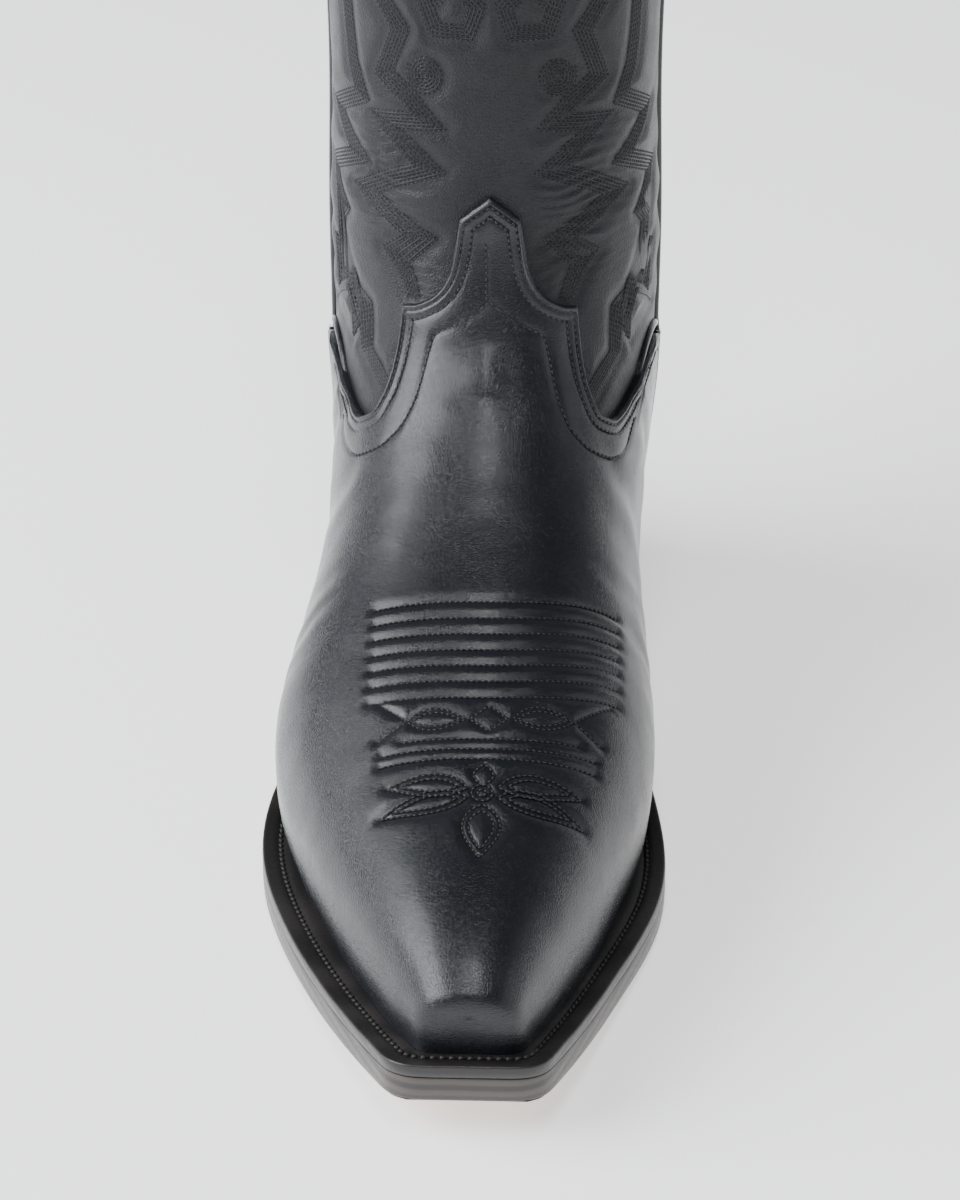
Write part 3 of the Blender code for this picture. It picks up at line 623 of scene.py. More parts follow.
def on_both_sides(rows, front):
    """The chart rows of one side, turned to the back half where wanted, and their mirror images."""
    if not front:
        rows = [np.stack([GIRTH - row[:, 0], row[:, 1]], -1) for row in rows]
    return rows + [row * (-1.0, 1.0) for row in rows]


def seated_row(t, a, face):
    """A row on a layer, as points and surface normals."""
    return layer_point(t, a, face), outward(t, a)


def split_where(points, normals, keep):
    """The runs of a row that are kept, each at least 3 points long."""
    runs = []
    start = None
    for i, kept in enumerate(list(keep) + [False]):
        if kept and start is None:
            start = i
        if not kept and start is not None:
            if i - start >= 3:
                runs.append((points[start:i], normals[start:i]))
            start = None
    return runs


# ---------------------------------------------------------------- materials
PER_MM = (1000.0, 1000.0, 1000.0)
WAVE_SCALE = 0.31           # of the wave texture, for bands one unit apart


def new_material(name, scale=PER_MM):
    """A material, its nodes, its shader and scaled object coordinates, so patterns keep their size."""
    made = bpy.data.materials.new(name)
    made.use_nodes = True
    tree = made.node_tree
    coordinates = tree.nodes.new("ShaderNodeTexCoord")
    mapping = tree.nodes.new("ShaderNodeMapping")
    mapping.inputs["Scale"].default_value = scale
    tree.links.new(coordinates.outputs["Object"], mapping.inputs["Vector"])
    return made, tree, tree.nodes["Principled BSDF"], mapping.outputs["Vector"]


def noise_node(tree, vector, scale, detail=3.0, rough=0.55):
    made = tree.nodes.new("ShaderNodeTexNoise")
    made.inputs["Scale"].default_value = scale
    made.inputs["Detail"].default_value = detail
    made.inputs["Roughness"].default_value = rough
    tree.links.new(vector, made.inputs["Vector"])
    return made.outputs["Fac"]


def cells_node(tree, vector, scale, feature="F1"):
    made = tree.nodes.new("ShaderNodeTexVoronoi")
    made.feature = feature
    made.inputs["Scale"].default_value = scale
    tree.links.new(vector, made.inputs["Vector"])
    return made.outputs["Distance"]


def wave_node(tree, vector, direction, pitch_mm):
    made = tree.nodes.new("ShaderNodeTexWave")
    made.bands_direction = direction
    made.inputs["Scale"].default_value = WAVE_SCALE / pitch_mm
    tree.links.new(vector, made.inputs["Vector"])
    return made


def ramp_node(tree, value, stops):
    made = tree.nodes.new("ShaderNodeValToRGB")
    while len(made.color_ramp.elements) < len(stops):
        made.color_ramp.elements.new(0.5)
    for element, (place_at, colour) in zip(made.color_ramp.elements, stops):
        element.position = place_at
        element.color = (*colour, 1.0)
    tree.links.new(value, made.inputs["Fac"])
    return made.outputs["Color"]


def range_node(tree, value, low, high, to_low, to_high):
    made = tree.nodes.new("ShaderNodeMapRange")
    for key, number in (("From Min", low), ("From Max", high), ("To Min", to_low), ("To Max", to_high)):
        made.inputs[key].default_value = number
    tree.links.new(value, made.inputs["Value"])
    return made.outputs["Result"]


def sum_node(tree, first, second, weight):
    """first + weight * second"""
    made = tree.nodes.new("ShaderNodeMath")
    made.operation = "MULTIPLY_ADD"
    made.inputs[1].default_value = weight
    tree.links.new(second, made.inputs[0])
    tree.links.new(first, made.inputs[2])
    return made.outputs["Value"]


def bump(tree, shader, height, depth_mm, strength=1.0):
    made = tree.nodes.new("ShaderNodeBump")
    made.inputs["Strength"].default_value = strength
    made.inputs["Distance"].default_value = depth_mm * MM
    tree.links.new(height, made.inputs["Height"])
    tree.links.new(made.outputs["Normal"], shader.inputs["Normal"])


def set_colour(tree, shader, value, low, high, dark, light):
    """Base colour from dark, where the value is low, to light, where it is high."""
    colour = ramp_node(tree, value, ((low, dark), (high, light)))
    tree.links.new(colour, shader.inputs["Base Color"])


def set_rough(tree, shader, value, low, high, rough_low, rough_high):
    """Roughness from rough_low, where the value is low, to rough_high, where it is high."""
    rough = range_node(tree, value, low, high, rough_low, rough_high)
    tree.links.new(rough, shader.inputs["Roughness"])


def leather(name, dark, light, rough_low, rough_high, pore_mm=0.42, depth=0.05, coat=0.0, specular=0.5):
    """Dyed and polished leather: cloudy colour, pores, fine creases and an uneven polish."""
    made, tree, shader, position = new_material(name)
    set_colour(tree, shader, noise_node(tree, position, 0.055, 4.0, 0.6), 0.30, 0.72, dark, light)
    polish = noise_node(tree, position, 0.09, 5.0, 0.62)
    set_rough(tree, shader, polish, 0.3, 0.72, rough_low, rough_high)
    pores = cells_node(tree, position, 1.0 / pore_mm)
    pores = range_node(tree, pores, 0.0, 0.45, 0.0, 1.0)
    grain = cells_node(tree, position, 0.62 / pore_mm, "DISTANCE_TO_EDGE")
    grain = range_node(tree, grain, 0.0, 0.22, 0.0, 1.0)
    creases = noise_node(tree, position, 0.8, 4.0, 0.6)
    height = sum_node(tree, sum_node(tree, pores, grain, 0.7), creases, 1.6)
    bump(tree, shader, height, depth)
    shader.inputs["IOR"].default_value = 1.5
    shader.inputs["Specular IOR Level"].default_value = specular
    shader.inputs["Coat Weight"].default_value = coat
    shader.inputs["Coat Roughness"].default_value = 0.2
    return made


def plain_leather(name, dark, light, rough, scale=0.25, depth=0.05):
    """Undyed or edge-finished leather: fibrous colour and a fine uneven surface."""
    made, tree, shader, position = new_material(name)
    clouds = noise_node(tree, position, scale, 6.0, 0.65)
    set_colour(tree, shader, clouds, 0.30, 0.70, dark, light)
    set_rough(tree, shader, clouds, 0.2, 0.8, rough - 0.08, rough + 0.1)
    bump(tree, shader, noise_node(tree, position, 2.4, 5.0, 0.7), depth)
    return made


def layered_edge(name, dark, light, rough, layer_mm):
    """Dyed edge of stacked leather, with fine level layers."""
    made, tree, shader, position = new_material(name)
    wave = wave_node(tree, position, "Z", layer_mm)
    wave.inputs["Distortion"].default_value = 1.2
    wave.inputs["Detail"].default_value = 3.0
    wave.inputs["Detail Scale"].default_value = 0.4
    set_colour(tree, shader, wave.outputs["Fac"], 0.15, 0.85, dark, light)
    fine = noise_node(tree, position, 1.1, 5.0, 0.65)
    set_rough(tree, shader, fine, 0.25, 0.75, rough - 0.07, rough + 0.12)
    bump(tree, shader, sum_node(tree, fine, wave.outputs["Fac"], 0.7), 0.09)
    return made


def thread(name, dark, light, rough):
    """Twisted waxed thread."""
    made, tree, shader, position = new_material(name)
    twist = noise_node(tree, position, 3.2, 2.0)
    set_colour(tree, shader, twist, 0.35, 0.65, dark, light)
    set_rough(tree, shader, twist, 0.3, 0.7, rough - 0.1, rough + 0.1)
    bump(tree, shader, noise_node(tree, position, 5.0, 3.0), 0.04)
    return made


def woven(name, dark, light, pitch_mm):
    """Plain weave."""
    made, tree, shader, position = new_material(name)
    warp, weft = (wave_node(tree, position, way, pitch_mm).outputs["Fac"] for way in ("X", "Z"))
    height = sum_node(tree, warp, weft, 1.0)
    set_colour(tree, shader, height, 0.3, 1.4, dark, light)
    shader.inputs["Roughness"].default_value = 0.9
    bump(tree, shader, height, 0.12)
    return made


def granular(name, dark, light, grain_mm, rough, depth):
    """Pressed grains, as in cork or moulded rubber."""
    made, tree, shader, position = new_material(name)
    cells = cells_node(tree, position, 1.0 / grain_mm)
    set_colour(tree, shader, cells, 0.1, 0.7, dark, light)
    set_rough(tree, shader, cells, 0.0, 0.8, rough - 0.05, rough + 0.08)
    bump(tree, shader, cells, depth)
    return made


def brushed_metal(name, dark, light):
    """Metal with fine lines along its length."""
    made, tree, shader, position = new_material(name, (4000.0, 60.0, 4000.0))
    lines = noise_node(tree, position, 1.0, 4.0)
    set_colour(tree, shader, lines, 0.3, 0.7, dark, light)
    set_rough(tree, shader, lines, 0.2, 0.8, 0.28, 0.45)
    shader.inputs["Metallic"].default_value = 1.0
    bump(tree, shader, lines, 0.02)
    return made


black = leather("upper_leather", (0.006, 0.007, 0.009), (0.012, 0.013, 0.016), 0.17, 0.30, depth=0.045,
                coat=0.15, specular=0.36)
leg_black = leather("leg_leather", (0.005, 0.006, 0.007), (0.011, 0.012, 0.015), 0.33, 0.46, pore_mm=0.55,
                    depth=0.085, specular=0.30)
strap_black = leather("strap_leather", (0.007, 0.008, 0.010), (0.014, 0.015, 0.018), 0.34, 0.50, coat=0.08)
lining_tan = leather("lining_leather_look", (0.40, 0.25, 0.14), (0.54, 0.37, 0.22), 0.55, 0.72,
                     pore_mm=0.6, depth=0.05)
sock_tan = leather("sock_leather_look", (0.33, 0.20, 0.11), (0.47, 0.31, 0.18), 0.5, 0.68, pore_mm=0.6)
welt_black = layered_edge("welt_edge", (0.008, 0.007, 0.007), (0.018, 0.015, 0.014), 0.33, 2.6)
sole_black = layered_edge("outsole_edge_look", (0.026, 0.022, 0.019), (0.062, 0.053, 0.046), 0.34, 3.2)
heel_black = layered_edge("heel_stack_edge", (0.008, 0.006, 0.006), (0.028, 0.020, 0.016), 0.30, 1.5)
sole_tan = plain_leather("sole_bottom", (0.34, 0.19, 0.09), (0.50, 0.31, 0.17), 0.42, 0.12, 0.06)
insole_tan = plain_leather("insole_look", (0.46, 0.31, 0.19), (0.60, 0.43, 0.28), 0.75)
board = plain_leather("stiffener_look", (0.28, 0.21, 0.15), (0.42, 0.33, 0.24), 0.85, 0.6, 0.1)
canvas = woven("backing_look", (0.50, 0.46, 0.38), (0.68, 0.64, 0.56), 0.7)
cork = granular("cork_look", (0.22, 0.13, 0.07), (0.50, 0.34, 0.20), 1.6, 0.9, 0.3)
rubber = granular("rubber_look", (0.010, 0.010, 0.010), (0.024, 0.023, 0.022), 0.5, 0.72, 0.05)
steel = brushed_metal("shank_look", (0.36, 0.36, 0.38), (0.52, 0.52, 0.54))
# Needle holes are painted near-black and matt, darker than the leather: painted shade inside the holes.
hole_painted_shade = plain_leather("needle_holes_painted_shade", (0.0015, 0.0015, 0.0018), (0.004, 0.004, 0.0045), 0.9, 1.0, 0.02)
black_thread = thread("black_thread", (0.006, 0.006, 0.007), (0.024, 0.024, 0.026), 0.42)
welt_thread = thread("welt_thread", (0.003, 0.003, 0.003), (0.012, 0.010, 0.009), 0.62)
sole_thread = thread("sole_thread", (0.30, 0.22, 0.13), (0.48, 0.38, 0.26), 0.6)
brass = brushed_metal("nail_brass", (0.52, 0.36, 0.14), (0.74, 0.54, 0.25))


# ---------------------------------------------------------------- leather panels
def build_panel(name, t, a, heights, material, skirts, lasted=False, flip=False):
    """A leather sheet from a grid of sections and shares, with the heights of its outer face.

    skirts names the borders that show a cut edge: top, bottom, first, last. Where lasted, the
    columns at a = -1 or 1 are carried round the sole edge and in under the foot."""
    normals = outward(t, a)
    grid = on_last(t, a) + heights[..., None] * normals
    lowered = grid - LEATHER * normals

    if "top" in skirts:
        grid = np.concatenate([grid, lowered[-1:]])
        lowered = np.concatenate([lowered, lowered[-1:]])
    if "bottom" in skirts:
        grid = np.concatenate([lowered[:1], grid])
        lowered = np.concatenate([lowered[:1], lowered])
    if "first" in skirts:
        grid = np.concatenate([lowered[:, :1], grid], axis=1)
    if "last" in skirts:
        grid = np.concatenate([grid, lowered[:, -1:]], axis=1)
    if lasted:
        grid = with_lasting(grid, t, a, skirts)
    return add_grid(name, grid, material, 60.0, flip=flip)


BEND_RADIUS = 3.6           # of the turn in under the foot
BEND_LIFT = 1.4


def with_lasting(grid, t, a, skirts):
    """Adds the columns that turn in under the foot where a border column lies at a = -1 or 1."""
    below = 1 if "bottom" in skirts else 0
    above = len(grid) - len(t) - below
    for border in (0, -1):
        side = a[0, border]
        if abs(abs(side) - 1.0) > 1e-6:
            continue
        side = math.copysign(1.0, side)
        sections = np.concatenate([t[:1, border]] * below + [t[:, border]] + [t[-1:, border]] * above)
        flat = np.minimum(sections, HEEL_BACK_T)
        edge = on_last(flat, side)
        inward = feather_inward(flat, side)
        normal = outward(flat, np.full_like(flat, side))
        start = np.arcsin(np.clip(-normal[:, 2], -1.0, 1.0))
        lift = np.maximum(BEND_RADIUS * np.sin(start), BEND_LIFT)
        centre = edge + (BEND_RADIUS * np.cos(start))[:, None] * inward + lift[:, None] * UP
        reach = BEND_RADIUS + SKIN
        extra = []
        for share in (0.25, 0.5, 0.75, 1.0):
            turn = (start + share * (math.pi / 2 - start))[:, None]
            extra.append(centre - reach * (np.cos(turn) * inward + np.sin(turn) * UP))
        extra.append(extra[-1] + 3.0 * inward)
        extra = np.stack(extra, 1)
        upright = sections > HEEL_BACK_T
        extra[upright] = grid[upright, border][:, None]
        parts = [extra[:, ::-1], grid] if border == 0 else [grid, extra]
        grid = np.concatenate(parts, axis=1)
    return grid


def edge_roll(distance):
    """Height of a rolled edge against the distance from it: rounded rim, then a shallow groove."""
    rim = -0.75 * (1.0 - np.clip(distance / 0.8, 0.0, 1.0)) ** 2
    bead = 0.22 * np.exp(-((distance - 0.9) / 0.45) ** 2)
    groove = -0.34 * np.exp(-((distance - 1.7) / 0.38) ** 2)
    return rim + bead + groove


def sunk_rows(distance, depth, width, pull, reach):
    """Leather drawn down by a stitch row: a narrow groove in a broad soft hollow."""
    return -depth * np.exp(-(distance / width) ** 2) - pull * np.exp(-(distance / reach) ** 2)


def row_samples(rows, step=0.5):
    """Points along all the rows, for measuring distances to them."""
    return np.concatenate([resample(points, step) for points, _ in rows])


def sit(rows, lift):
    """Rows moved out from their layer, or in where the lift is negative."""
    return [(points + lift * normals, normals) for points, normals in rows]


def plan_to_rows(lines, face):
    """Lines in plan as rows on a layer."""
    rows = []
    for line in lines:
        line = dense(line, 0.8)
        t, a = from_plan(line[:, 0], line[:, 1])
        rows.append(seated_row(t, a, face))
    return rows


def offset_rows(edge_points, t, a, face, distance, inward_sign):
    """Row on a layer at a distance inside an edge line given by its sections and shares."""
    ways = unit(np.gradient(edge_points, axis=0))
    moved = edge_points + distance * (np.cross(outward(t, a), ways) * inward_sign)
    points, normals = seated_row(*seat_on_layer(moved, t, a, face), face)
    clear = distance_to(points, dense(edge_points, 0.4)) > 0.93 * distance
    return split_where(points, normals, clear)


def spread(start, end, count, power):
    """Numbers from start to end that crowd towards the end."""
    share = np.linspace(0.0, 1.0, count)
    return start + (end - start) * (1.0 - (1.0 - share) ** power)


EDGE_ROWS = (1.7, 4.2)      # distances of the two stitch rows from a panel's edge
# Stitches as pitch, length, radius and lift; needle holes as pitch, radius and lift
SEAM_PITCH = 1.75
SEAM_STITCH = (SEAM_PITCH, 1.3, 0.27, 0.0)
SEAM_HOLE = (SEAM_PITCH, 0.36, 0.14)
TOE_STITCH = (1.5, 1.15, 0.27, 0.0)
TOE_HOLE = (1.5, 0.30, 0.14)
LEG_STITCH = (1.35, 0.85, 0.17, 0.0)
LEG_HOLE = (1.35, 0.30, 0.10)

# The vamp's single ornamental row, as share and section, one side
BOW_ROW = ((0.0, 13.82), (0.045, 13.5), (0.09, 13.33), (0.14, 13.2), (0.158, 12.85), (0.178, 12.35),
           (0.20, 11.95), (0.24, 11.6), (0.30, 11.45), (0.38, 11.55), (0.45, 11.95), (0.49, 12.6))

vamp_shares = np.concatenate([np.linspace(0.0, 0.45, 84)[:-1], np.linspace(0.45, 1.0, 46)])
vamp_edge_t = vamp_top(vamp_shares)


def make_vamp():
    shares = np.concatenate([-vamp_shares[::-1], vamp_shares[1:]])
    tops = np.concatenate([vamp_edge_t[::-1], vamp_edge_t[1:]])
    low_rows = np.concatenate([np.linspace(0.0, 2.0, 20)[:-1], np.linspace(2.0, 4.0, 25)[:-1],
                               np.linspace(4.0, 9.3, 180)[:-1], np.linspace(9.3, 11.0, 26)[:-1]])
    upper = np.stack([spread(11.0, top, 64, 1.35) for top in tops], 1)
    t = np.concatenate([np.repeat(low_rows[:, None], len(shares), 1), upper])
    a = np.repeat(shares[None], len(t), 0)
    base = layer_point(t, a, SKIN)

    edge_s = np.concatenate([np.linspace(0.0, 0.3, 160)[:-1], np.linspace(0.3, 1.0, 160)])
    edge_t = vamp_top(edge_s)
    edge_a = np.concatenate([-edge_s[::-1], edge_s[1:]])
    edge_t = np.concatenate([edge_t[::-1], edge_t[1:]])
    edge_points = layer_point(edge_t, edge_a, SKIN)
    to_edge = distance_to(base, dense(edge_points, 0.3))

    toe = plan_to_rows(toe_rows(), SKIN)
    inner, second = (offset_rows(edge_points, edge_t, edge_a, SKIN, distance, -1.0)
                     for distance in EDGE_ROWS)
    bow_s, bow_t = np.array(BOW_ROW).T
    bow_dense = np.linspace(0.0, bow_s[-1], 90)
    bow_line_t = eased(bow_s, bow_t)(bow_dense)
    bow = [seated_row(bow_line_t, side * bow_dense, SKIN) for side in (-1.0, 1.0)]
    bow.append(seated_row(np.linspace(13.82, 15.3, 24), np.full(24, -0.008), SKIN))

    height = np.full(t.shape, SKIN)
    height += edge_roll(to_edge)
    height += sunk_rows(distance_to(base, row_samples(toe)), 0.32, 0.45, 0.55, 1.7)
    height += sunk_rows(distance_to(base, row_samples(second + bow)), 0.22, 0.45, 0.22, 1.3)
    height += 0.35 * wobble(base, 26.0, 1.0) + 0.12 * wobble(base, 9.0, 2.0)
    height += toe_puff(t, a) + toe_ridge(t, a) + instep_folds(t, a, base)
    skin = build_panel("vamp_leather", t, a, height, black, ("top",), lasted=True)
    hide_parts("vamp")

    toe = sit(toe, -0.80)
    seams = sit(inner, -0.30) + sit(second + bow, -0.34)
    return [skin,
            add_stitches("toe_stitches", toe, *TOE_STITCH, black_thread),
            add_stitches("vamp_stitches", seams, *SEAM_STITCH, black_thread),
            add_holes("toe_holes", toe, *TOE_HOLE),
            add_holes("vamp_holes", seams, *SEAM_HOLE)]


def toe_puff(t, a):
    """The edge of the toe box, a soft step across the toe."""
    step = 1.0 / (1.0 + np.exp(-(t - 5.08) / 0.05))
    fade = np.clip(1.0 - np.abs(a) / 0.62, 0.0, 1.0)
    return -0.22 * step * fade * np.exp(-((t - 5.1) / 0.9) ** 2)


def toe_ridge(t, a):
    """The crisp upper edge of the flat tip."""
    return 0.55 * np.exp(-((t - 1.25) / 0.3) ** 2 - (a / 0.42) ** 2)


def instep_folds(t, a, base):
    """Shallow folds where the vamp bends: a knob on the instep and creases at the sides."""
    knob = 0.9 * np.exp(-((t - 12.35) / 0.42) ** 2 - ((a + 0.01) / 0.05) ** 2)
    crease = -0.5 * np.exp(-((t - 11.82 - 6.0 * (a - 0.02) ** 2) / 0.10) ** 2 - ((a - 0.02) / 0.10) ** 2)
    band = np.exp(-((t - 12.0) / 1.6) ** 2) * np.exp(-((np.abs(a) - 0.52) / 0.16) ** 2)
    ripple = np.sin(t * 5.2 + 3.0 * wobble(base, 22.0, 3.0) + 4.0 * np.abs(a))
    flex = np.exp(-((t - 9.2) / 0.7) ** 2) * np.exp(-((np.abs(a) - 0.6) / 0.2) ** 2)
    flex_ripple = np.sin(t * 11.0 + 2.5 * wobble(base, 16.0, 4.0))
    return knob + crease + 0.45 * band * ripple + 0.22 * flex * flex_ripple


# ---------------------------------------------------------------- counter
def make_counter():
    """The cover of each side of the heel, with its stitching."""
    pieces = []
    threads = []
    for side, word in SIDES:
        shares = np.concatenate([np.linspace(EAR_SHARE, 0.62, 24)[:-1], np.linspace(0.62, 1.0, 66)])
        lows = side_seam(shares) + SEAM_GAP
        tops = COUNTER_TOP(shares)
        rise = 0.5 * (1 - np.cos(np.linspace(0, math.pi, 110)))
        t = np.stack([low + (top - low) * rise for low, top in zip(lows, tops)], 1)
        a = np.repeat(side * shares[None], len(t), 0)
        base = layer_point(t, a, SKIN)
        top_line = layer_point(tops, side * shares, SKIN)
        seam_line = layer_point(lows, side * shares, SKIN)
        height = np.full(t.shape, SKIN)
        height += edge_roll(distance_to(base, dense(top_line, 0.3)))
        seam_distance = distance_to(base, dense(seam_line, 0.3))
        height -= 0.5 * (1.0 - np.clip(seam_distance / 0.7, 0.0, 1.0)) ** 2
        rows, second = (offset_rows(top_line, tops, side * shares, SKIN, distance, -side)
                        for distance in EDGE_ROWS)
        seam = offset_rows(seam_line, lows, side * shares, SKIN, 2.0, side)
        height += sunk_rows(distance_to(base, row_samples(second + seam)), 0.22, 0.45, 0.2, 1.3)
        height += 0.3 * wobble(base, 24.0, 5.0) + 0.1 * wobble(base, 8.0, 6.0)
        piece = build_panel(f"counter_leather_{word}", t, a, height, black, ("top", "bottom", "first"),
                            lasted=True, flip=side < 0)
        pieces.append(piece)
        threads += sit(rows + second + seam, -0.32)
    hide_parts("counter_cover")
    pieces.append(add_stitches("counter_stitches", threads, *SEAM_STITCH, black_thread))
    pieces.append(add_holes("counter_holes", threads, *SEAM_HOLE))
    return pieces


def make_seam_backing():
    """The vamp's black underlap, seen in the narrow gap before the counter."""
    made = []
    for side, word in SIDES:
        shares = np.linspace(EAR_SHARE, 0.999, 70)
        middles = side_seam(shares)
        t = np.stack([middles - 0.10, middles, middles + 0.10])
        a = np.repeat(side * shares[None], 3, 0)
        points = layer_point(t, a, SKIN - 0.75)
        made.append(add_grid(f"seam_underlap_{word}", points, strap_black, flip=side < 0))
    return made


# ---------------------------------------------------------------- leg
def leg_folds(t, a, base):
    """Soft folds over the ankle and fine wrinkles above the tongue."""
    z = base[..., 2]
    u = a * GIRTH
    mask = np.exp(-((z - 158.0) / 20.0) ** 2) * np.clip((np.abs(u) - 3.0) / 14.0, 0.0, 1.0)
    mask *= np.exp(-((np.abs(u) - 26.0) / 16.0) ** 2)
    phase = 3.0 * wobble(base, 13.0, 7.0) + 0.04 * np.abs(u)
    fine = np.sin(z * 2.0 * math.pi / 3.1 + phase * 2.0)
    ankle = np.exp(-((z - 140.0) / 30.0) ** 2) * np.exp(-((np.abs(u) - 78.0) / 22.0) ** 2)
    broad = np.sin(z * 2.0 * math.pi / 15.0 + 0.05 * np.abs(u) + 2.0 * wobble(base, 30.0, 8.0))
    return 0.2 * mask * fine + 0.4 * ankle * broad


def make_leg_half(name, word, shares, lows, seed, front):
    """One panel of the leg with its stitches, needle holes and ridges."""
    tops = topline(shares)
    columns = np.concatenate([-shares[::-1], shares[1:] if front else shares])
    low_t = np.concatenate([lows[::-1], lows[1:] if front else lows])
    top_t = np.concatenate([tops[::-1], tops[1:] if front else tops])
    height_rows = 300
    t = low_t[None] + (top_t - low_t)[None] * np.linspace(0.0, 1.0, height_rows)[:, None]
    a = np.repeat(columns[None], height_rows, 0)
    if not front:
        half = len(shares)
        order = np.concatenate([np.arange(half, 2 * half), np.arange(1, half)])
        t = t[:, order]
        a = a[:, order]
    base = layer_point(t, a, 0.0)

    rows = rows_on_leg(leg_rows(front), front)
    ridges = rows_on_leg(leg_ridges(front), front)
    to_band = distance_to(base, row_samples(rows, 0.9))
    height = -0.75 * np.exp(-(np.clip(to_band - 0.5, 0.0, None) / 2.2) ** 2)
    height += 0.7 * wobble(base, 42.0, seed) + 0.25 * wobble(base, 15.0, seed + 1.0)
    height += leg_folds(t, a, base)
    near_top = np.clip((top_t[None] - t if front else topline(np.abs(a)) - t) / 0.6, 0.0, 1.0)
    near_side = np.clip((np.abs(np.abs(a) - SIDE_SEAM)) / 0.03, 0.0, 1.0)
    height *= near_top * near_side
    panel = build_panel(name, t, a, height, leg_black, ())
    lifts = height_at(base, height, rows + ridges)
    lifted = [(points + lift[:, None] * normals, normals)
              for (points, normals), lift in zip(rows + ridges, lifts)]
    seams = lifted[:len(rows)]
    stitches = add_stitches(f"leg_stitches_{word}", seams, *LEG_STITCH, black_thread)
    holes = add_holes(f"leg_holes_{word}", seams, *LEG_HOLE)
    cords = add_ridges(f"leg_ridges_{word}", lifted[len(rows):], leg_black)
    return [panel, stitches, holes, cords]


def rows_on_leg(lines, front):
    """The parts of chart lines that show on one half of the leg, as points and normals."""
    rows = []
    for line in lines:
        line = dense(line, 1.0)
        line_t, line_a = from_leg(line[:, 0], line[:, 1])
        line_s = np.abs(line_a)
        edge = vamp_top(np.clip(line_s, 0.0, EAR_SHARE - 0.001)) if front else COUNTER_TOP(line_s)
        inside = (line_t > edge + 0.12) & (line_t < topline(line_s) - 0.25)
        inside &= (line_s < SIDE_SEAM - 0.02) if front else (line_s > SIDE_SEAM + 0.02)
        inside &= line_s < 0.998
        rows += split_where(*seated_row(line_t, line_a, 0.0), inside)
    return rows


# Across and up, of one ridge
RIDGE_SECTION = ((-0.40, -0.12), (-0.24, 0.10), (0.0, 0.19), (0.24, 0.10), (0.40, -0.12))


def add_ridges(name, rows, material):
    """Narrow raised ridges of leather along rows of points and normals."""
    all_points = []
    faces = []
    count = 0
    for row in rows:
        both = resample(np.concatenate(row, axis=1), 1.3)
        if len(both) < 3:
            continue
        spots, ups = both[:, :3], both[:, 3:]
        across = unit(np.cross(ups, np.gradient(spots, axis=0)))
        fade = np.ones(len(spots))
        fade[0] = fade[-1] = 0.1
        grid = np.stack([spots + out * across + (high * fade)[:, None] * ups
                         for out, high in RIDGE_SECTION], 1)
        all_points.append(grid.reshape(-1, 3))
        faces += grid_faces(*grid.shape[:2], count)
        count += len(all_points[-1])
    return add_mesh(name, np.concatenate(all_points), faces, material, 180.0)


def height_at(base, height, rows):
    """Relief of a panel under the points of each row, from the four nearest grid points."""
    tree = kd_tree(base.reshape(-1, 3))
    values = height.ravel()
    found = []
    for points, _ in rows:
        near = [tree.find_n(point, 4) for point in points]
        found.append(np.array([np.mean([values[hit[1]] for hit in hits]) for hits in near]))
    return found


def make_leg():
    shares = np.linspace(0.0, SIDE_SEAM, 108)
    lows = vamp_top(shares) - 0.7
    front_pieces = make_leg_half("shaft_front_leather", "front", shares, lows, 11.0, True)
    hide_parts("shaft_front")
    shares = np.linspace(SIDE_SEAM, 1.0, 108)
    lows = COUNTER_TOP(np.clip(shares, EAR_SHARE, 1.0)) - 0.8
    lows = np.minimum(lows, np.interp(shares, (SIDE_SEAM, EAR_SHARE, 0.56), (12.9, 13.8, 99.0)))
    back_pieces = make_leg_half("shaft_back_leather", "back", shares, lows, 21.0, False)
    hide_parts("shaft_back")
    return front_pieces + back_pieces


# ---------------------------------------------------------------- sweeps
def sweep(name, points, normals, section, material):
    """Sweeps a closed section of (out, up) points along a line with the given outward normals."""
    ups = unit(np.cross(unit(np.gradient(points, axis=0)), normals))
    grid = np.stack([points + out * normals + up * ups for out, up in section], 1)
    return add_grid(name, grid, material, closed=True)


def ring(radius, sides=12):
    turns = np.arange(sides) * 2.0 * math.pi / sides
    return [(radius * math.cos(u), radius * math.sin(u)) for u in turns]


def make_piping():
    made = []
    for side, word in SIDES:
        rows = np.linspace(13.4, float(topline(SIDE_SEAM)) - 0.3, 220)
        a = np.full_like(rows, side * SIDE_SEAM)
        points = layer_point(rows, a, 0.1)
        piece = sweep(f"piping_{word}", points, outward(rows, a), ring(1.25), black)
        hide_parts(f"side_piping_{word}")
        made.append(piece)
    return made


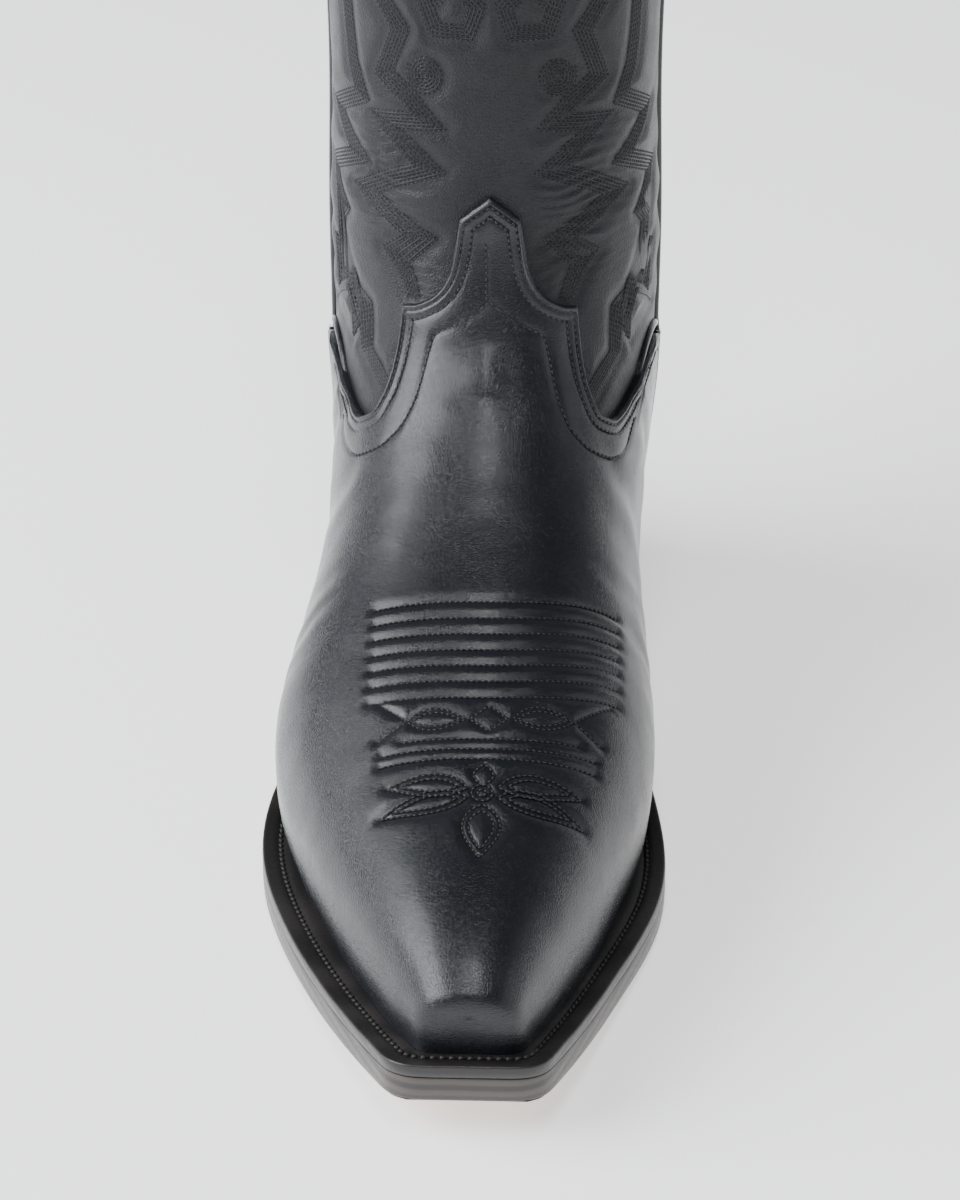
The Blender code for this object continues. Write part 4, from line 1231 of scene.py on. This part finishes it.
def make_binding():
    """Leather binding rolled over the topline, with its stitch rows."""
    a = np.linspace(-1.0, 1.0, 361)[:-1]
    t = topline(np.abs(a))
    edge = on_last(t, a)
    across = outward(t, a)
    outer = 1.3
    inner = -WALL - 1.1
    middle = 0.5 * (outer + inner)
    half = 0.5 * (outer - inner)
    section = [(outer - 0.7, -5.2), (outer - 0.1, -5.0), (outer, -4.6), (outer, -2.0), (outer, -0.6)]
    section += [(middle + half * math.cos(u), -0.6 + 1.7 * math.sin(u))
                for u in np.linspace(0.25, math.pi - 0.25, 9)]
    section += [(inner, -0.6), (inner, -2.0), (inner, -4.6), (inner + 0.1, -5.0), (inner + 0.7, -5.2)]
    up = unit(UP - across * across[:, 2:3])
    grid = np.stack([edge + out * across + high * up for out, high in section], 1)
    grid = np.concatenate([grid, grid[:1]])
    piece = add_grid("binding", grid, strap_black, 60.0, flip=True)
    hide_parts("top_binding")
    rows = []
    for out, normal in ((outer + 0.02, across), (inner - 0.02, -across)):
        line = edge + out * across - 3.9 * up
        rows.append((np.concatenate([line, line[:1]]), np.concatenate([normal, normal[:1]])))
    return [piece, add_stitches("binding_stitches", rows, 1.9, 1.4, 0.24, 0.0, black_thread)]


# ---------------------------------------------------------------- pull straps
def strap_path():
    """Middle line of a strap in (out from the wall's middle, up from the topline)."""
    outer_out = WALL / 2 + 2.3
    inner_out = -WALL / 2 - 1.9
    leg = LOOP_INNER + LOOP_THICK / 2
    arc_base = LOOP_HEIGHT - LOOP_INNER - LOOP_THICK
    path = [(outer_out, -30.0), (outer_out, -22.0), (outer_out, -14.0), (outer_out + 0.1, -8.0),
            (outer_out + 0.5, -3.0), (leg - 0.3, 1.5), (leg, 6.0), (leg, arc_base - 4.0)]
    path += [(leg * math.cos(u), arc_base + leg * math.sin(u)) for u in np.linspace(0.0, math.pi, 15)]
    path += [(-leg, arc_base - 4.0), (-leg, 6.0), (-leg + 0.3, 1.5), (inner_out - 0.9, -3.0),
             (inner_out - 0.1, -8.0), (inner_out, -14.0), (inner_out, -22.0), (inner_out, -30.0)]
    path = np.array(path)
    return spline_at(path, spline_bends(path), np.linspace(0, len(path) - 1, 170))


SECTION_MM = 21.0           # height of one section just below the topline
UPRIGHT_MM = 12.0           # height over the topline at which a loop stands upright
BLEND_MM = (-3.0, 7.0)      # from the wall to the free loop, over the topline


def make_straps():
    """Each strap with its threads, its body and the two ends of its blend."""
    made = []
    path = strap_path()
    ways = unit(np.gradient(path, axis=0))
    out_of_path = np.stack([ways[:, 1], -ways[:, 0]], -1)
    widths = np.concatenate([[-1.0, -0.985], np.linspace(-0.95, 0.95, 23), [0.985, 1.0]])
    top_t = float(topline(SIDE_SEAM))
    for side, word in SIDES:
        faces_grid = []
        for layer in (0.5, -0.5):
            columns = []
            for w in widths:
                share = SIDE_SEAM + w * STRAP_WIDTH / 2 / GIRTH * 0.98
                thin = 0.55 if abs(w) > 0.99 else (0.85 if abs(w) > 0.97 else 1.0)
                line = path + layer * LOOP_THICK * 0.92 * thin * out_of_path
                t = top_t - np.clip(-line[:, 1], 0.0, None) / SECTION_MM
                a = np.full(len(line), side * share)
                wall = layer_point(t, a, -WALL / 2)
                lift = np.clip(line[:, 1], 0.0, None)
                weight = np.clip(line[:, 1] / UPRIGHT_MM, 0.0, 1.0)[:, None]
                way = unit(outward(t, a) * (1.0 - weight) + np.array([side, 0.0, 0.0]) * weight)
                columns.append(wall + line[:, :1] * way + lift[:, None] * UP)
            faces_grid.append(np.stack(columns, 1))
        outer_face, inner_face = faces_grid
        loop = np.concatenate([outer_face, inner_face[:, ::-1]], axis=1)
        piece = add_grid(f"pull_strap_{word}", loop, strap_black, 60.0, closed=True, flip=side > 0)
        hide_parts(f"pull_loop_{word}", f"pull_tab_{word}_outer", f"pull_tab_{word}_inner")
        normals = unit(outer_face - inner_face)
        rows = [(outer_face[:, k], normals[:, k]) for k in (3, len(widths) - 4)]
        rows += [(outer_face[k, 3:-3], normals[k, 3:-3]) for k in (1, len(path) - 3)]
        threads = add_stitches(f"strap_stitches_{word}", rows, 1.9, 1.4, 0.24, -0.02, black_thread)
        hinge = layer_point(np.array([top_t]), np.array([side * SIDE_SEAM]), -WALL / 2)
        x, y, z = (float(value) for value in place(hinge)[0])
        start, end = ((x, y, z + height * MM) for height in BLEND_MM)
        made.append((piece, threads, f"loop_{word}", start, end))
    return made


# ---------------------------------------------------------------- inside
def make_lining():
    t_rows = np.concatenate([np.linspace(0.4, 13.0, 90)[:-1], np.linspace(13.0, LAST_T, 110)])
    shares = np.concatenate([-np.linspace(0.0, 1.0, 61)[::-1], np.linspace(0.0, 1.0, 61)[1:]])
    t = np.minimum(np.repeat(t_rows[:, None], len(shares), 1), topline(np.abs(shares))[None] - 0.02)
    a = np.repeat(shares[None], len(t_rows), 0)
    base = on_last(t, a)
    height = -WALL + 0.12 * wobble(base, 20.0, 31.0)
    grid = layer_point(t, a, height)
    piece = add_grid("lining", grid, lining_tan, 180.0, flip=True)
    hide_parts("vamp_lining", "shaft_lining")
    return piece


# ---------------------------------------------------------------- sole
def sole_line():
    """The outsole's outline from the toe's middle round the medial side and back, as (x, d)."""
    angles = np.linspace(0.0, math.pi / 2, 60)
    d = np.concatenate([np.linspace(0.0, TOE_CORNER, 14)[:-1],
                        np.linspace(TOE_CORNER, HEEL_ROUND, 260)[:-1],
                        HEEL_ROUND + (HEEL_END - HEEL_ROUND) * np.sin(angles)])
    medial = np.stack([sole_half_width(d, 1), d], -1)
    lateral = np.stack([-sole_half_width(d, -1), d], -1)[::-1]
    tip = lateral[-1:] * [0.0, 1.0]
    line = resample(np.concatenate([tip, medial, lateral[1:], tip]), 0.9)[:-1]
    for _ in range(14):
        line = 0.5 * line + 0.25 * (np.roll(line, 1, 0) + np.roll(line, -1, 0))
    return line


outline = sole_line()
outline_ways = unit(np.roll(outline, -1, 0) - np.roll(outline, 1, 0))
outline_out = np.stack([outline_ways[:, 1], -outline_ways[:, 0]], -1)
if outline_out[0, 1] > 0.0:
    outline_out = -outline_out


def rim_points(inset, height):
    """The outline moved inward and lifted above the tread."""
    flat = outline - inset * outline_out
    return np.concatenate([flat, (tread(flat[:, 1]) + height)[:, None]], axis=1)


def rim_order(keep):
    """Indices of the outline's kept points, from one end of their run to the other."""
    start = int(np.argmax(keep & ~np.roll(keep, 1)))
    order = np.roll(np.arange(len(outline)), -start)
    return order[keep[order]]


def rim_strip(name, section, material, keep=None):
    """A strip round the sole, through (inset, height over the tread) points."""
    grid = np.stack([rim_points(inset, height) for inset, height in section], 1)
    grid = np.concatenate([grid, grid[:1]]) if keep is None else grid[rim_order(keep)]
    return add_grid(name, grid, material)


SEAT_FROM = 243.0           # where the welt ends and the heel seat's rand begins


def make_sole():
    """Outsole edge and underside, welt, rand and their stitches."""
    fore = outline[:, 1] < SEAT_FROM
    edge = [(6.0, 0.02), (1.3, 0.02), (0.7, 0.12), (0.25, 0.45), (0.05, 1.0), (0.0, 2.4), (0.0, 4.2),
            (0.05, 6.2), (0.22, 6.72), (1.2, 6.76)]
    welt = [(1.2, 6.82), (0.28, 6.86), (0.12, 7.1), (0.06, 7.8), (0.06, 9.0), (0.12, 9.7), (0.26, 10.05),
            (0.5, 10.22), (1.0, 10.28), (3.0, 10.26), (4.0, 10.2), (4.5, 9.9), (5.0, 9.75), (5.5, 9.9),
            (6.0, 10.2), (8.0, 10.25), (13.0, 10.25)]
    rand = [(1.2, 6.82), (0.28, 6.86), (0.12, 7.1), (0.08, 8.0), (0.2, 9.4), (0.6, 9.95), (1.4, 10.2),
            (9.0, 10.25)]
    sole_edge = rim_strip("outsole_edge", edge, sole_black)
    welt_piece = rim_strip("welt_strip", welt, welt_black, fore)
    rand_piece = rim_strip("seat_rand", rand, welt_black, ~fore)
    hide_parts("welt")
    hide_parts("heel_seat_rand")

    d = np.concatenate([np.linspace(0.8, 14.0, 24)[:-1], np.linspace(14.0, HEEL_END - 1.2, 200)])
    across = np.linspace(-1.0, 1.0, 41)
    left = sole_half_width(d, -1) - 1.2
    right = sole_half_width(d, 1) - 1.2
    x = np.where(across[None] < 0, across[None] * left[:, None], across[None] * right[:, None])
    grid = np.stack([x, np.repeat(d[:, None], 41, 1), np.repeat(tread(d)[:, None], 41, 1) + 0.03], -1)
    bottom = add_grid("outsole_bottom", grid, sole_tan, flip=True)
    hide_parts("outsole")

    order = rim_order(fore)
    ups = np.repeat(UP[None], len(order), 0)
    welt_row = [(rim_points(5.0, 10.05)[order], ups)]
    welt_stitches = add_stitches("welt_stitches", welt_row, 2.2, 2.0, 0.60, -0.08, welt_thread, 0.35)
    sole_row = [(rim_points(6.5, 0.0)[order], -ups)]
    sole_stitches = add_stitches("sole_stitches", sole_row, 3.0, 2.3, 0.30, -0.12, sole_thread)
    return [sole_edge, welt_piece, rand_piece, bottom, welt_stitches, sole_stitches]


# ---------------------------------------------------------------- heel
TOP_LIFT_THICK = 6.0
LIFT_COUNT = 4
BREAST_D = 239.0
UNDERSHOT = 0.26
SIDE_TAPER = 0.10
SEAT_Z = 36.0               # height at which the heel has its full size
SEAT_HALF = 36.2
BACK_ROUND = 42.0           # length of the round back


def heel_outline(z):
    """Plan of the heel at height z: a straight breast and a round back."""
    drop = SEAT_Z - z
    back = HEEL_END - 1.0 - UNDERSHOT * drop
    wide = SEAT_HALF - SIDE_TAPER * drop
    turn = back - BACK_ROUND
    front = BREAST_D + 0.04 * drop
    angles = np.linspace(0.0, math.pi / 2, 40)
    x = wide * np.cos(angles) ** 0.85
    x[-1] = 0.0
    d = turn + (back - turn) * np.sin(angles) ** 0.95
    side_d = np.linspace(front + 0.4, turn, 10)[:-1]
    side_x = np.full(9, wide) * np.interp(side_d, (front, turn), (0.985, 1.0))
    medial = np.concatenate([[(side_x[0] - 0.5, front)], np.stack([side_x, side_d], -1),
                             np.stack([x, d], -1)])
    lateral = medial[:-1][::-1] * [-1.0, 1.0]
    breast_x = np.linspace(-side_x[0] + 0.5, side_x[0] - 0.5, 24)[1:-1]
    breast = np.stack([breast_x, np.full(22, front)], -1)
    return np.concatenate([medial, lateral, breast])


def heel_piece(name, low, high, material, groove=0.35):
    """One lift of the stack with slightly rounded edges; high may be a function of d."""
    rings = []
    middle = np.array([0.0, 272.0])
    top = high if callable(high) else (lambda d: np.full(np.shape(d), float(high)))
    high_there = float(top(np.array([270.0]))[0])
    levels = ((0.0, 30.0), (0.0, groove), (0.07, 0.12), (0.2, 0.0),
              (0.8, 0.0), (0.93, 0.12), (1.0, groove), (1.0, 30.0))
    for share, inset in levels:
        base = heel_outline(low + share * (high_there - low))
        reach = np.linalg.norm(base - middle, axis=1, keepdims=True)
        flat = base - np.minimum(inset, 0.9 * reach) * unit(base - middle)
        heights = low + share * (top(flat[:, 1]) - low)
        rings.append(np.concatenate([flat, heights[:, None]], axis=1))
    return add_grid(name, np.stack(rings), material, 40.0, closed=True)


NAIL_PITCH = 13.0
NAIL_INSET = 7.0
NAIL_SIDES = 10
NAIL_RINGS = ((0.0, 1.0), (0.0, 1.25), (0.3, 1.3))     # height and radius


def make_nails():
    """Brass nail heads in a ring on the underside of the top lift."""
    nails = []
    faces = []
    turns = np.arange(NAIL_SIDES) * 2 * math.pi / NAIL_SIDES
    plan = heel_outline(0.0)
    ring_line = resample(np.concatenate([plan, plan[:1]]), NAIL_PITCH)[:-1]
    middle = np.array([0.0, 268.0])
    for spot in ring_line:
        start = len(nails)
        way = spot - middle
        x, d = spot - NAIL_INSET * way / np.linalg.norm(way)
        for height, radius in NAIL_RINGS:
            nails += [(x + radius * math.cos(u), d + radius * math.sin(u), height + 0.01) for u in turns]
        faces.append(tuple(start + i for i in reversed(range(NAIL_SIDES))))
        faces += grid_faces(len(NAIL_RINGS), NAIL_SIDES, start, closed=True)
    return add_mesh("heel_nails", nails, faces, brass)


def make_heel():
    """Top lift, four lifts, the wedge under the seat and the nails."""
    seat_front = float(tread(BREAST_D))
    lift = (seat_front - TOP_LIFT_THICK - 2.0) / LIFT_COUNT
    made = [heel_piece("top_lift_look", 0.0, TOP_LIFT_THICK, rubber, 0.6)]
    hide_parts("top_lift")
    for i in range(LIFT_COUNT):
        low = TOP_LIFT_THICK + i * lift
        piece = heel_piece(f"heel_lift_{i + 1}_look", low + 0.02, low + lift, heel_black)
        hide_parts(f"heel_lift_{i + 1}")
        made.append(piece)
    wedge = heel_piece("heel_wedge_look", TOP_LIFT_THICK + LIFT_COUNT * lift + 0.02,
                       lambda d: tread(d) - 0.02, heel_black)
    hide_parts("heel_wedge")
    made.append(wedge)
    made.append(make_nails())
    return made


# ---------------------------------------------------------------- assemble
def finish_inner_nodes():
    """Looks for the CAD nodes that no piece replaces."""
    looks = {"toe_box": board, "heel_stiffener": board, "vamp_backer": canvas, "sock_liner": sock_tan,
             "insole": insole_tan, "cork_filler": cork, "shank": steel}
    for node, look in looks.items():
        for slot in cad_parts[node].material_slots:
            slot.material = look


finish_inner_nodes()
black_pieces = make_vamp() + make_counter() + make_seam_backing() + make_leg()
black_pieces += make_piping() + make_binding()
for piece in black_pieces:
    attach(piece, "boot")
lining_piece = make_lining()
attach(lining_piece, "boot")
for strap, threads, body, start, end in make_straps():
    for piece in (strap, threads):
        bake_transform(piece)
for piece in make_sole():
    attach(piece, "boot")
for piece in make_heel():
    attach(piece, "boot")


# ---------------------------------------------------------------- floor, light and camera
FLOOR_HALF = 4.0
LIT_POINT = (0.0, 0.0, 0.1)
CAMERA_AT = (0.0194, -0.7088, 0.454)
CAMERA_TILT = 60.81
CAMERA_PAN = 1.67
CAMERA_LENS = 90.3


def add_area(name, location, size, power, colour):
    """A rectangular lamp that faces the boot."""
    light = bpy.data.lights.new(name, "AREA")
    light.shape = "RECTANGLE"
    light.size, light.size_y = size
    light.energy = power
    light.color = colour
    lamp = bpy.data.objects.new(name, light)
    lamp.location = location
    lamp.rotation_euler = (Vector(LIT_POINT) - Vector(location)).to_track_quat("-Z", "Y").to_euler()
    bpy.context.scene.collection.objects.link(lamp)


def add_floor():
    """A pale floor that glows a little, so the ground stays nearly white."""
    mesh = bpy.data.meshes.new("floor")
    corners = [(x * FLOOR_HALF, y * FLOOR_HALF, 0.0) for x, y in ((-1, -1), (1, -1), (1, 1), (-1, 1))]
    mesh.from_pydata(corners, [], [(0, 1, 2, 3)])
    made, tree, shader, position = new_material("floor_white", (1.0, 1.0, 1.0))
    clouds = noise_node(tree, position, 3.0)
    set_colour(tree, shader, clouds, 0.3, 0.7, (0.95, 0.95, 0.953), (0.965, 0.965, 0.968))
    shader.inputs["Roughness"].default_value = 0.9
    shader.inputs["Specular IOR Level"].default_value = 0.2
    shader.inputs["Emission Color"].default_value = (1.0, 1.0, 1.0, 1.0)
    shader.inputs["Emission Strength"].default_value = 0.85
    mesh.materials.append(made)
    floor = bpy.data.objects.new("floor", mesh)
    bpy.context.scene.collection.objects.link(floor)


def add_world():
    """A bright horizon under a darker ceiling."""
    world = bpy.data.worlds.new("studio")
    world.use_nodes = True
    tree = world.node_tree
    background = tree.nodes["Background"]
    coordinates = tree.nodes.new("ShaderNodeTexCoord")
    split = tree.nodes.new("ShaderNodeSeparateXYZ")
    tree.links.new(coordinates.outputs["Generated"], split.inputs["Vector"])
    glow = ramp_node(tree, split.outputs["Z"], ((0.0, (0.95, 0.97, 1.0)), (0.2, (0.65, 0.67, 0.70)),
                                               (0.45, (0.13, 0.135, 0.14)), (1.0, (0.10, 0.10, 0.10))))
    tree.links.new(glow, background.inputs["Color"])
    background.inputs["Strength"].default_value = 1.0
    bpy.context.scene.world = world


def add_camera():
    camera = bpy.data.cameras.new("camera")
    camera.lens = CAMERA_LENS
    camera.sensor_width = 36.0
    holder = bpy.data.objects.new("camera", camera)
    holder.location = CAMERA_AT
    holder.rotation_euler = (math.radians(CAMERA_TILT), 0.0, math.radians(CAMERA_PAN))
    bpy.context.scene.collection.objects.link(holder)
    bpy.context.scene.camera = holder


add_floor()
add_world()
add_area("overhead", (0.0, -0.62, 1.5), (0.3, 1.1), 11.0, (0.98, 0.98, 1.0))
add_area("window_left", (-1.7, -0.3, 1.25), (1.9, 1.5), 95.0, (0.94, 0.97, 1.0))
add_area("window_right", (1.9, -0.3, 0.9), (1.0, 0.9), 4.0, (0.95, 0.98, 1.0))
add_camera()
